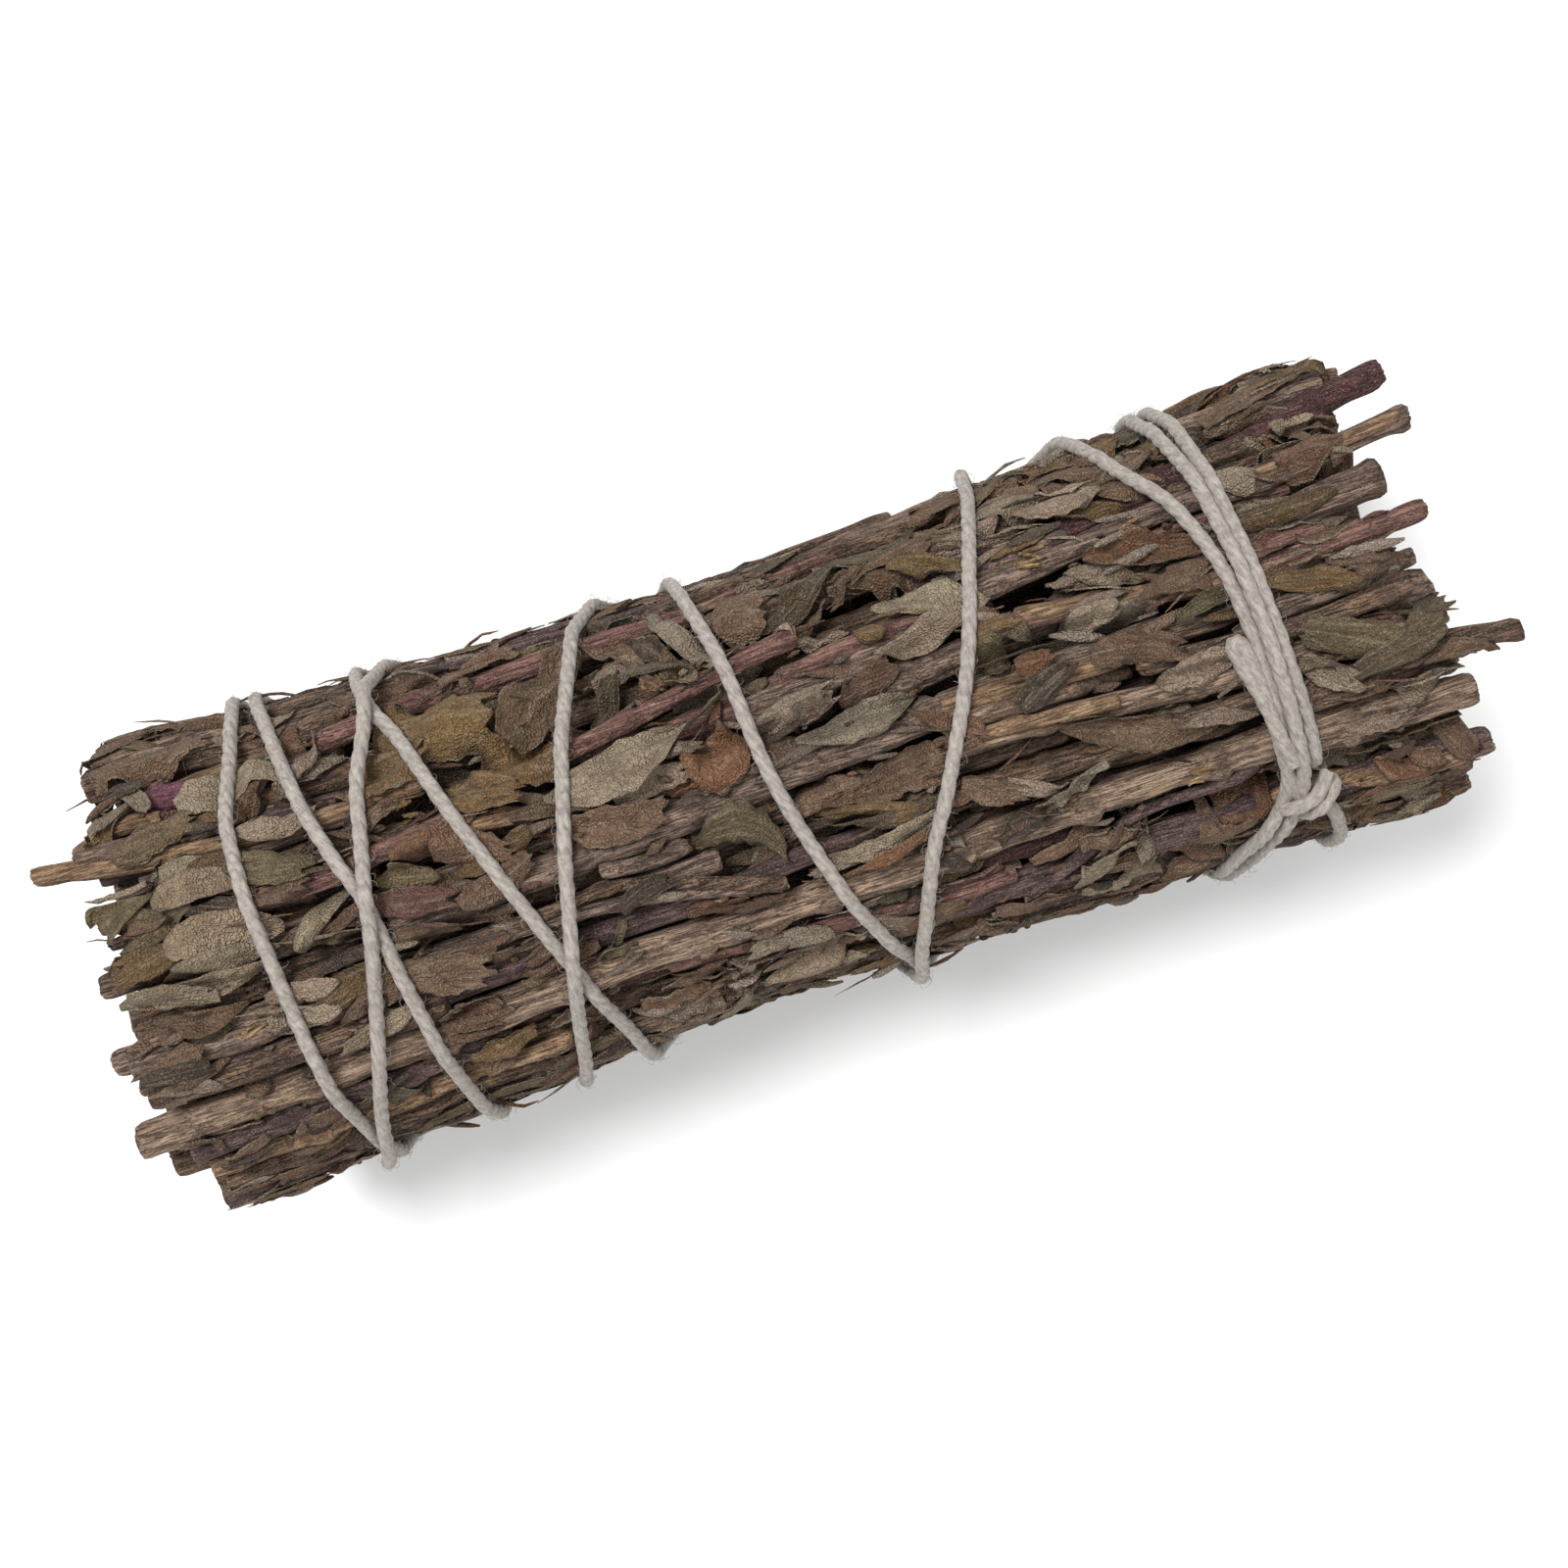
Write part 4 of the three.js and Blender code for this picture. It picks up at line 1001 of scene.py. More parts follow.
# Leaves that lie on top: base (x, angle), tip (x, angle), width, colour, outline, and for some the
# frame's node that they stand for.
TOP_LEAVES = [
    # the plain end
    [(-37.4, 16.5), (-43.8, 15.0), 2.8, SAGE, "blunt"],
    [(-36.0, 3.0), (-43.8, 5.4), 2.8, SAGE, "blunt", "leaf_sage_rounded"],
    [(-36.5, -1.0), (-43.8, 1.0), 1.9, SAGE, "blade"],
    [(-37.0, -3.8), (-47.6, -2.4), 1.8, SAGE, "blade"],
    [(-43.5, 17.5), (-48.0, 14.0), 3.0, OLIVE, "wedge"],
    [(-43.8, 21.0), (-48.4, 22.0), 1.4, SAGE, "strap"],
    [(-38.6, 20.5), (-32.6, 14.0), 3.0, OLIVE, "torn"],
    [(-41.0, 37.0), (-34.0, 44.0), 3.6, SAGE, "torn"],
    [(-34.5, 38.0), (-30.8, 49.0), 1.7, SILVER, "blade"],
    [(-46.0, 29.0), (-40.0, 34.0), 2.6, OLIVE, "torn"],
    [(-47.5, 56.0), (-39.0, 60.0), 2.6, TAUPE, "torn"],
    [(-41.5, -7.5), (-49.0, -4.0), 2.0, SAGE, "strap"],
    [(-35.5, -4.0), (-31.0, 8.0), 1.6, SAGE, "strap"],
    [(-39.0, -16.5), (-33.8, -18.0), 1.6, SILVER, "strap"],
    [(-46.5, -9.5), (-40.0, -12.0), 1.6, TAUPE, "blade"],
    [(-37.5, 27.0), (-31.0, 30.0), 2.2, SAGE, "oval"],
    # between the first crossings
    [(-26.8, 46.0), (-18.2, 37.0), 5.6, OCHRE, "torn", "leaf_ochre_broad"],
    [(-30.6, 33.0), (-23.4, 33.5), 3.6, OCHRE, "torn"],
    [(-20.2, 25.0), (-14.0, 23.0), 4.2, OCHRE, "blunt"],
    [(-23.4, 19.5), (-17.4, 15.0), 3.2, OCHRE, "torn"],
    [(-29.2, 5.8), (-24.6, 2.5), 2.0, OLIVE, "oval"],
    [(-29.8, 1.0), (-24.0, -3.0), 2.4, ROSE, "torn"],
    [(-28.8, -17.5), (-23.6, -21.5), 3.6, TAUPE, "torn"],
    [(-28.2, -31.5), (-23.8, -34.0), 2.0, UMBER, "torn"],
    [(-24.6, 8.0), (-19.5, 3.0), 2.6, TAUPE, "torn"],
    [(-23.8, -5.0), (-18.6, 0.0), 2.4, UMBER, "torn"],
    [(-17.6, 30.0), (-11.6, 56.0), 3.6, TAUPE, "strap"],
    [(-21.6, 55.0), (-16.0, 63.0), 2.8, TAUPE, "torn"],
    # beside and under the large sage leaf
    [(-11.4, 56.0), (-6.2, 38.0), 2.8, TAUPE, "wedge"],
    [(-12.6, 28.0), (-8.8, 42.5), 1.7, MOSS, "blade"],
    [(-7.2, 49.0), (-5.2, 40.0), 2.6, DUSK, "oval"],
    [(-6.0, 38.0), (-3.6, 31.0), 2.6, OLIVE, "torn"],
    [(-7.6, 37.0), (-6.4, 31.5), 1.3, RUST, "torn"],
    [(-5.6, 56.0), (-1.6, 32.0), 1.9, SILVER, "strap"],
    [(-11.6, 6.0), (-6.2, 8.0), 2.2, SILVER, "torn"],
    [(-15.4, 4.0), (-8.4, 1.0), 2.6, TAUPE, "torn"],
    [(-6.3, 8.6), (-1.6, 12.5), 4.0, RUST, "blunt"],
    [(-1.8, 8.6), (-5.2, 3.4), 2.6, RUST, "blunt"],
    [(-7.6, 14.5), (-4.6, 13.0), 1.6, SILVER, "torn"],
    [(-2.2, 26.0), (-16.2, 11.5), 3.9, SAGE, "stalked", "leaf_sage_large"],
    # under the bowed twig
    [(-1.4, -20.5), (-7.2, -9.5), 3.1, OLIVE, "kidney", "leaf_olive_curled"],
    [(-9.4, -26.5), (-5.2, -28.5), 1.6, RUST, "torn"],
    [(-13.6, -19.0), (-9.6, -15.0), 1.6, DUSK, "torn"],
    [(-5.8, -57.0), (2.4, -49.0), 2.2, SAGE, "blade"],
    [(2.4, -45.0), (6.4, -53.0), 2.0, SAGE, "torn"],
    [(-15.0, -56.0), (-9.0, -60.0), 2.2, TAUPE, "torn"],
    # the middle
    [(1.4, 41.0), (8.6, 52.5), 1.9, MOSS, "blade"],
    [(8.0, 52.0), (12.6, 48.0), 1.4, MOSS, "blade"],
    [(7.6, 30.5), (2.2, 38.5), 1.6, SILVER, "blade"],
    [(-1.4, 46.0), (2.4, 43.5), 2.8, TAUPE, "torn"],
    [(8.8, 42.5), (15.2, 47.5), 2.4, UMBER, "wedge"],
    [(11.6, 43.0), (17.4, 35.5), 2.0, OCHRE, "torn"],
    [(17.2, 24.5), (9.6, 35.5), 3.1, SAGE, "blunt"],
    [(7.8, 27.0), (10.0, 25.0), 1.4, OCHRE, "oval"],
    [(8.6, 19.5), (17.6, 24.5), 1.5, SILVER, "blade"],
    [(1.6, 6.5), (10.6, 8.5), 2.6, SILVER, "blade"],
    [(-0.6, 12.5), (5.0, 15.5), 1.9, SILVER, "torn"],
    [(9.6, 5.0), (13.8, -5.5), 2.6, UMBER, "wedge"],
    [(2.0, -11.0), (11.4, -9.0), 3.9, UMBER, "wedge", "leaf_umber_pointed"],
    [(1.8, -12.5), (9.4, -18.5), 2.0, OCHRE, "blade"],
    [(10.6, -16.5), (2.0, -16.5), 1.6, MOSS, "blade"],
    [(10.8, -19.5), (1.2, -23.5), 2.3, SAGE, "blade"],
    [(1.8, -29.5), (9.8, -25.5), 1.6, RUST, "blade"],
    [(10.6, -36.5), (8.4, -33.0), 1.4, DUSK, "blade"],
    [(15.0, 17.5), (18.6, 16.5), 1.5, OCHRE, "torn"],
    [(14.6, 12.0), (17.8, 11.0), 2.4, OLIVE, "oval"],
    [(17.6, 7.0), (20.2, 6.5), 2.2, RUST, "torn"],
    # beyond the middle
    [(23.6, 50.5), (18.4, 54.5), 1.9, SAGE, "oval"],
    [(26.8, 42.5), (21.2, 47.0), 2.3, SAGE, "oval"],
    [(27.8, 50.0), (23.4, 51.0), 1.2, SILVER, "blade"],
    [(28.6, 17.5), (23.0, 25.5), 2.3, SAGE, "blade"],
    [(25.6, 13.0), (21.8, 12.5), 1.7, SAGE, "oval"],
    [(33.0, 22.0), (24.6, 27.0), 2.9, RUST, "blunt"],
    [(26.6, 11.5), (32.2, 13.5), 2.9, TAUPE, "wedge"],
    [(17.0, -3.0), (21.0, 3.0), 2.2, DUSK, "torn"],
    [(22.6, 3.5), (29.0, -1.5), 2.6, UMBER, "torn"],
    [(33.4, -20.5), (19.2, -10.5), 2.9, TAUPE, "stalked", "leaf_taupe_long"],
    [(32.8, -21.5), (26.6, -17.0), 1.5, SILVER, "blade"],
    [(32.6, -6.5), (26.6, -8.0), 1.9, SILVER, "oval"],
    [(14.6, -18.5), (19.4, -26.5), 1.5, SILVER, "strap"],
    [(21.6, -20.5), (16.4, -27.5), 1.6, SILVER, "torn"],
    [(11.6, -15.5), (15.4, -21.0), 2.4, TAUPE, "torn"],
    [(22.4, -50.5), (27.6, -47.5), 1.9, SILVER, "strap"],
    [(18.0, -60.5), (24.4, -67.5), 2.2, SAGE, "oval"],
    [(11.6, -56.0), (17.0, -61.0), 2.2, TAUPE, "torn"],
    [(13.0, -33.5), (17.6, -30.0), 1.6, DUSK, "oval"],
    [(14.6, 61.0), (20.4, 70.0), 2.6, TAUPE, "torn"],
    [(24.0, 62.0), (31.0, 72.0), 2.8, OCHRE, "torn"],
    # the knot end
    [(44.6, -17.5), (36.8, -5.5), 3.4, OLIVE, "torn"],
    [(46.4, -14.0), (39.6, -18.5), 2.6, MOSS, "torn"],
    [(43.6, -12.0), (47.6, -9.5), 2.4, MOSS, "torn"],
    [(44.2, -20.5), (50.2, -25.0), 1.9, UMBER, "blade"],
    [(47.2, -26.0), (42.4, -29.5), 1.9, SILVER, "torn"],
    [(40.6, 46.5), (43.6, 43.0), 1.5, SILVER, "oval"],
    [(38.0, 33.0), (34.4, 38.5), 1.9, SILVER, "torn"],
    [(36.0, 7.5), (41.4, 0.5), 1.9, OCHRE, "torn"],
    [(39.6, 17.5), (34.8, 15.0), 1.9, ROSE, "torn"],
    [(36.4, -13.0), (39.6, -20.5), 2.0, SILVER, "torn"],
    [(34.6, 79.0), (40.8, 88.0), 2.6, DUSK, "wedge"],
    [(38.5, 66.0), (47.2, 71.0), 3.4, OCHRE, "torn"],
    [(36.8, 58.0), (44.6, 66.0), 2.9, UMBER, "torn"],
    [(37.0, -36.5), (42.8, -33.0), 1.8, SILVER, "torn"],
    # a folded leaf that sticks out low down
    [(2.0, -78.0), (7.8, -84.0), 3.6, DUSK, "torn"],
]

SLOT_OF_TINT = {
    SAGE: "sage", SILVER: "sage", TAUPE: "umber", UMBER: "umber", RUST: "umber",
    OCHRE: "ochre", OLIVE: "olive", MOSS: "olive", DUSK: "umber", ROSE: "umber",
}
TINTS = list(SLOT_OF_TINT)
TINT_SHARES = [0.10, 0.09, 0.22, 0.20, 0.06, 0.08, 0.09, 0.06, 0.07, 0.03]


def random_leaf(random, x_range, degrees_range, size):
    """Base, tip, width, colour and outline of one leaf among many."""
    x = random.uniform(*x_range)
    degrees = random.uniform(*degrees_range)
    length = random.uniform(3.0, 8.0) * size
    width = min(length * random.uniform(0.16, 0.42), 2.8)
    turn = random.normal(0, 15) if random.uniform() < 0.85 else random.uniform(-70, 70)
    turn += 180 * random.integers(2)
    along, aside = math.cos(math.radians(turn)), math.sin(math.radians(turn))
    run = (length / 2 * along, length / 2 * aside / MM_PER_DEGREE)
    form = random.choice(["blade", "oval", "blunt", "strap", "torn", "torn", "wedge"])
    tint = TINTS[random.choice(len(TINTS), p=TINT_SHARES)]
    return (x - run[0], degrees - run[1]), (x + run[0], degrees + run[1]), width, tint, form


class Shown:
    """Keeps the middles of the stems that are seen free of scattered leaves."""

    def __init__(self, lines, nodes):
        self.rows = []
        for node, (start, end) in nodes.items():
            line, radius = lines[node]
            inside = (line[:, 0] > start) & (line[:, 0] < end)
            x, y, z = line[inside].T
            self.rows.append(np.stack([x, np.degrees(np.arctan2(y, z)), np.full_like(x, radius)], axis=-1))
        self.rows = np.concatenate(self.rows)

    def covered_by(self, base, tip, width):
        for share in (0.15, 0.5, 0.85):
            x, degrees = (base[i] * (1 - share) + tip[i] * share for i in (0, 1))
            turn = np.mod(degrees - self.rows[:, 1] + 180, 360) - 180
            away = np.hypot(x - self.rows[:, 0], turn * MM_PER_DEGREE)
            if (away < self.rows[:, 2] * 0.75 + width * 0.38).any():
                return True
        return False


# Gaps that stay open between the stems: from x to x, from angle to angle.
CLEFTS = [(-27, -12, -16, -8), (14, 21, -13, -7), (21, 34, -26, -20), (34, 41, -14, -8), (-9, -1, -16, -10)]


def scattered(skin, random, count, x_range, degrees_range, size, grid, shown=None):
    """Lays leaves at random places and returns them by material slot."""
    groups = {}
    laid = 0
    while laid < count:
        base, tip, width, tint, form = random_leaf(random, x_range, degrees_range, size)
        x, degrees = (base[0] + tip[0]) / 2, (base[1] + tip[1]) / 2
        if any(a < x < b and low < degrees < high for a, b, low, high in CLEFTS):
            continue
        if shown and shown.covered_by(base, tip, width):
            if width > 1.2 and random.uniform() < 0.9:
                continue
            width = min(width, 1.2)
            if shown.covered_by(base, tip, width):
                continue
        calmer = {"arch": (-0.1, 0.3), "ripple": (0, 0.2), "crumple": (0.12, 0.3)}
        shape = leaf_shape(random, **{key: random.uniform(*ends) for key, ends in calmer.items()})
        part = lay_leaf(skin, base, tip, width, tint, form, random, shape, grid, TOP_SPARE * 0.6)
        groups.setdefault(SLOT_OF_TINT[tint], []).append(part)
        laid += 1
    return groups


def add_leaves(name, groups, leaf, replaces=()):
    for slot, parts in groups.items():
        label = name if len(groups) == 1 else name + "_" + slot
        new_joined(label, parts, leaf, replaces)


def make_leaves(low, lines, leaf, bark):
    """Lays the small leaves between the stems, then the proud stems, then the leaves on top."""
    random = np.random.default_rng(SEED)
    bed = scattered(low, random, 330, (-47, 46), (-100, 100), 1.0, (12, 7))
    add_leaves("leaves_between_front", bed, leaf)
    bed = scattered(low, random, 260, (-47, 46), (100, 260), 1.0, (11, 6))
    add_leaves("leaves_between_back", bed, leaf)
    skin = low.copy()
    for node in PROUD_STEMS:
        skin.add_stem(*lines[node])
    make_twigs(skin, bark)
    shown = Shown(lines, SHOWN_STEMS)
    upper = [
        ("leaves_over_front", 330, (-47.5, 46.5), (-97, 97), 0.8, (16, 8)),
        ("leaves_end_left", 110, (-46.8, -44.0), (-180, 180), 0.7, (14, 7)),
        ("leaves_end_right", 60, (42.0, 44.5), (-180, 180), 0.7, (14, 7)),
    ]
    for name, count, *where in upper:
        add_leaves(name, scattered(skin, random, count, *where, shown), leaf)
    for number, (base, tip, width, tint, form, *node) in enumerate(TOP_LEAVES, 1):
        shape = leaf_shape(random, limp=random.uniform(0.0, 0.25))
        if form == "kidney":
            shape.update(bend=-0.24, notch=0.14, cup=-0.5, roll=-0.5, pleat=0.12)
        part = lay_leaf(skin, base, tip, width, tint, form, random, shape, spare=TOP_SPARE)
        name = node[0] + "_blade" if node else f"leaf_top_{number:03d}"
        add_leaves(name, {SLOT_OF_TINT[tint]: [part]}, leaf, node)
    add_leaves("leaves_over_back", scattered(skin, random, 190, (-46, 45), (95, 265), 1.2, (15, 8)), leaf)
    make_end_leaves(random, leaf)
    make_end_stems(skin, lines, bark)
    return skin


# How far the cut stems reach at each end: at the middle, less towards +Y, and by chance.
END_STEM_DEPTH = 0.45  # how far under the lid the outermost of them stay
END_STEM_TRIES = 2600
END_X = 43  # where the room between the stems is judged
END_RADIUS = 17.9
END_KINDS = ["brown", "grey", "purple", "pink", "tan", "brown"]
END_REACH = {-1: (47.4, 0.7, 1.5), 1: (44.0, 2.4, 1.8)}


def make_end_stems(skin, lines, bark):
    """Thin cut stems that fill the room between the others at both ends."""
    random = np.random.default_rng(SEED + 9)
    groups = {}
    for way in (-1, 1):
        start = way * END_X
        taken = []
        for line, radius in lines.values():
            order = line[np.argsort(line[:, 0])]
            if order[0, 0] < start < order[-1, 0]:
                taken.append((*(np.interp(start, order[:, 0], order[:, i]) for i in (1, 2)), radius))
        for _ in range(END_STEM_TRIES):
            radius = random.uniform(0.45, 1.25)
            reach = END_RADIUS * math.sqrt(random.uniform()) - radius * 0.6
            turn = random.uniform(0, 2 * math.pi)
            y, z = reach * math.sin(turn), reach * math.cos(turn)
            if any(math.hypot(y - a, z - b) < r + radius * 0.8 for a, b, r in taken):
                continue
            middle, lean_y, chance = END_REACH[way]
            end = middle - lean_y * math.sin(turn) + random.uniform(-chance, chance)
            x = np.arange(30.0, end, 0.8) * way
            lean = random.uniform(-0.03, 0.03, 2)
            line = np.stack([x, y + (x - start) * lean[0], z + (x - start) * lean[1]], axis=-1)
            line = line[np.argsort(x)]
            room = skin.read(skin.lid, line[:, 0], np.full(len(line), math.degrees(turn)))
            outermost = np.hypot(line[:, 1], line[:, 2]) + radius
            if (outermost > room - END_STEM_DEPTH).any():
                continue
            taken.append((y, z, radius))
            corners, faces, marks = stem_surface(line, radius, SEED + 500 + len(taken), 10)
            kind = END_KINDS[random.integers(len(END_KINDS))]
            groups.setdefault(kind, []).append((corners + (0, AXIS_Y, AXIS_Z), faces, marks))
    for kind, parts in groups.items():
        new_joined("end_stems_" + kind, parts, bark[kind])


def make_end_leaves(random, leaf):
    """Leaves that stand between the cut stems at both ends, deep in the bundle."""
    groups = {}
    for way, start in ((-1, 45.5), (1, 42.5)):
        for _ in range(150):
            length = random.uniform(4, 9)
            width = random.uniform(1.4, 3.2)
            form = random.choice(["torn", "blunt", "strap"])
            shape = leaf_shape(random)
            along, across, height, t, side = leaf_blade(form, length, width, random, 9, 6, shape)
            reach = 16.8 * math.sqrt(random.uniform())
            place = random.uniform(0, 2 * math.pi)
            roll = random.uniform(0, 2 * math.pi)
            middle_x = way * (start + random.uniform(-3.0, 2.5)) - way * length * 0.4
            y = reach * math.sin(place) + AXIS_Y
            z = reach * math.cos(place) + AXIS_Z

            def placed(lift):
                up = height + lift
                return np.stack([
                    middle_x + along,
                    y + across * math.cos(roll) - up * math.sin(roll),
                    z + across * math.sin(roll) + up * math.cos(roll),
                ], axis=-1)

            tint = TINTS[random.choice(len(TINTS), p=TINT_SHARES)]
            # painted shade: these leaves, deep between the cut stems, are given 0.8 of their colour
            part = closed_sheet(placed(LEAF_THICKNESS), placed(0), t, side, np.array(tint) * 0.8, random)
            groups.setdefault(SLOT_OF_TINT[tint], []).append(part)
    add_leaves("leaves_in_ends", groups, leaf)


# ---------------------------------------------------------------- thin twigs

# Twigs that lie on the stems: route of (x, angle), radius, kind of bark.
TWIGS = [
    [[(-49.2, 49), (-44, 47), (-38.5, 46)], 1.15, "wine"],
    [[(-49.8, 43), (-46, 41), (-42.5, 39)], 0.6, "tan"],
    [[(-48.4, 60), (-38, 60), (-28, 58)], 1.0, "brown"],
    [[(-47.9, 69), (-36, 67), (-24, 66)], 0.9, "grey"],
    [[(-47.4, 80), (-36, 77), (-22, 76)], 1.0, "brown"],
    [[(-48.8, 33), (-44, 33), (-37, 34)], 0.8, "grey"],
    [[(-30, 12), (-27, 13), (-23.5, 14)], 0.85, "pink"],
    [[(-49.0, -17), (-42, -19), (-33, -20)], 0.8, "grey"],
    [[(-48.6, -26), (-38, -27), (-27, -29)], 0.9, "brown"],
    [[(-48.2, -47), (-38, -46), (-24, -48)], 0.9, "purple"],
    [[(-47.8, -55), (-34, -54), (-20, -57)], 0.9, "tan"],
    [[(-47.5, -63), (-36, -62), (-14, -64)], 0.8, "brown"],
    [[(-46.8, -72), (-32, -70), (-8, -71)], 0.9, "grey"],
    [[(-21, -14), (-14, -14), (-8, -19), (-2, -27)], 0.55, "brown"],
    [[(-14, -9), (-11, -11), (-7.5, -10)], 0.65, "grey"],
    [[(-24, 13), (-16, 9), (-9, 9)], 0.55, "tan"],
    [[(-19, 38), (-14, 36), (-9, 33)], 0.6, "pink"],
    [[(-1, 15), (4, 17), (9.5, 20)], 0.6, "grey"],
    [[(12, 4), (18, 2), (25, 1)], 0.75, "tan"],
    [[(13, -1), (19, -2), (26, -4)], 0.7, "pale"],
    [[(11.5, -6), (17, -7), (24, -9)], 0.6, "tan"],
    [[(16, 36), (20, 37), (25, 37)], 0.8, "purple"],
    [[(2, 24), (8, 27), (16, 27)], 0.7, "pink"],
    [[(19, 19), (26, 15), (34, 11)], 0.9, "tan"],
    [[(37.8, 35), (43, 36), (49.4, 38)], 0.5, "tan"],
    [[(35, 19), (40, 18), (45, 18)], 0.8, "brown"],
    [[(14, -58), (20, -46), (27, -40), (33, -37)], 0.5, "purple"],
    [[(33, -54), (41, -54), (48.2, -56)], 0.8, "tan"],
    [[(36, -25), (42, -24), (47.5, -26)], 0.7, "brown"],
    [[(36, 1), (42, 2), (48, 4)], 0.7, "grey"],
    [[(36, 48), (41, 49), (45.6, 50)], 0.8, "brown"],
    [[(36, 64), (42, 64), (46.5, 63)], 0.8, "grey"],
    [[(-12, -44), (0, -46), (14, -49)], 0.7, "pink"],
    [[(-6, -60), (8, -62), (22, -66)], 0.8, "brown"],
    [[(-28, 66), (-14, 68), (2, 66)], 0.7, "purple"],
    [[(-6, 62), (8, 66), (24, 70)], 0.8, "brown"],
]

# Frayed yellow ends of side twigs, as (x, angle).
BUDS = [
    (-41.0, -18.2), (20.6, 33.2), (28.1, 30.0), (27.1, -31.8), (-7.1, 34.5), (39.2, 3.0), (-26.5, 21.5),
]


def twig_line(skin, route, radius):
    """A thin stem's line, lying along the skin between high places."""
    x, degrees = through(route, 0.45).T
    ground = np.max([skin.read(skin.reach, x, degrees + side) for side in (-1.5, 0, 1.5)], axis=0)
    reach = draped(ground[:, None], 60)[:, 0] + radius * 0.45
    highest = np.min([skin.read(skin.lid, x, degrees + side) for side in (-2, 0, 2)], axis=0) - radius
    soft = np.convolve(np.pad(np.minimum(reach, highest), 3, mode="edge"), np.full(7, 1 / 7), mode="valid")
    soft = np.minimum(soft, highest + 0.08)
    turn = np.radians(degrees)
    return np.stack([x, soft * np.sin(turn), soft * np.cos(turn)], axis=-1)


def make_twigs(skin, bark):
    """Thin twigs, the known ones first and then others at random all round."""
    random = np.random.default_rng(SEED + 2)
    twigs = list(TWIGS)
    kinds = ["brown", "grey", "purple", "pink", "tan", "pale"]
    for _ in range(70):
        start = random.uniform(-47, 32)
        length = random.uniform(9, 24)
        degrees = random.uniform(75, 285)
        lean = random.normal(0, 5)
        route = [(start + length * k, degrees + lean * turn) for k, turn in ((0, 0), (0.5, 1), (1, 1.5))]
        twigs.append([route, random.uniform(0.4, 0.95), kinds[random.integers(len(kinds))]])
    for x, degrees in BUDS:
        for _ in range(7):
            start = (x + random.uniform(-0.5, 0.5), degrees + random.uniform(-2.2, 2.2))
            end = (start[0] + random.uniform(0.8, 1.7), start[1] + random.uniform(-3, 3))
            twigs.append([[start, end], random.uniform(0.10, 0.20), "bud"])
    groups = {}
    for number, (route, radius, kind) in enumerate(twigs):
        line = twig_line(skin, route, radius)
        skin.add_stem(line, radius)
        corners, faces, marks = stem_surface(line, radius, SEED + 300 + number, 14)
        groups.setdefault(kind, []).append((corners + (0, AXIS_Y, AXIS_Z), faces, marks))
    for kind, parts in groups.items():
        new_joined("twigs_" + kind, parts, bark[kind])


# ---------------------------------------------------------------- small bits, by geometry nodes


def bits_tree(material):
    """Geometry nodes: a rolled leaflet at each given point, each one made uneven in its own way."""
    sizes = ("Length", "Thickness", "Bend", "Unevenness", "Noise Scale")
    tree, given = new_group("Rolled bits", "Places", sizes)
    half = times(tree, given["Length"], 0.5)
    links = {
        "Resolution": 7, "Start": vector_of(tree, times(tree, half, -1.0)),
        "Middle": vector_of(tree, z=given["Bend"]), "End": vector_of(tree, half),
    }
    line = put(tree, "GeometryNodeCurveQuadraticBezier", links)
    share = add(tree, "GeometryNodeSplineParameter").outputs["Factor"]
    share = maths(tree, "ADD", times(tree, share, 0.9), 0.05)
    belly = maths(tree, "SINE", times(tree, share, math.pi))
    links = {"Curve": line, "Radius": maths(tree, "POWER", belly, 0.7)}
    line = put(tree, "GeometryNodeSetCurveRadius", links)
    bit = swept(tree, line, circle(tree, 7, given["Thickness"]), Scale=put(tree, "GeometryNodeInputRadius"))
    facing, size = (
        put(tree, "GeometryNodeInputNamedAttribute", {"Name": name}, data_type="FLOAT_VECTOR")
        for name in ("facing", "size")
    )
    links = {"Points": given["Places"], "Instance": bit, "Rotation": facing, "Scale": size}
    bits = changed(tree, "RealizeInstances", put(tree, "GeometryNodeInstanceOnPoints", links))
    rough = add(tree, "ShaderNodeTexNoise", {"Scale": given["Noise Scale"], "Detail": 2.0}).outputs[1]
    rough = put(tree, "ShaderNodeVectorMath", {0: rough, 1: (0.5, 0.5, 0.5)}, operation="SUBTRACT")
    rough = put(tree, "ShaderNodeVectorMath", {0: rough, "Scale": given["Unevenness"]}, operation="SCALE")
    bits = changed(tree, "SetShadeSmooth", changed(tree, "SetPosition", bits, {"Offset": rough}))
    return finish_group(tree, bits, material)


# The large top leaves that nothing lies on: from x to x, from angle to angle.
CLEAR_LEAVES = [(-17, -2, 9, 28), (-8.5, 0.5, -22, -7), (-28, -17, 28, 47)]
BURIED = 1.6  # how much deeper the bits lie there

# Small bits: how many, their length, thickness, bend and colours.
BITS = {
    "bits_rolled": (460, 3.4, 0.33, 0.5, [SAGE, SILVER, TAUPE, TAUPE, TAUPE, UMBER, UMBER, DUSK]),
    "bits_fibres": (420, 4.6, 0.11, 0.9, [SAGE, TAUPE, TAUPE, UMBER, RUST, DUSK, OCHRE]),
    "bits_crumbs": (700, 0.8, 0.21, 0.1, [TAUPE, UMBER, RUST, OCHRE, OLIVE, DUSK, DUSK, SILVER]),
}


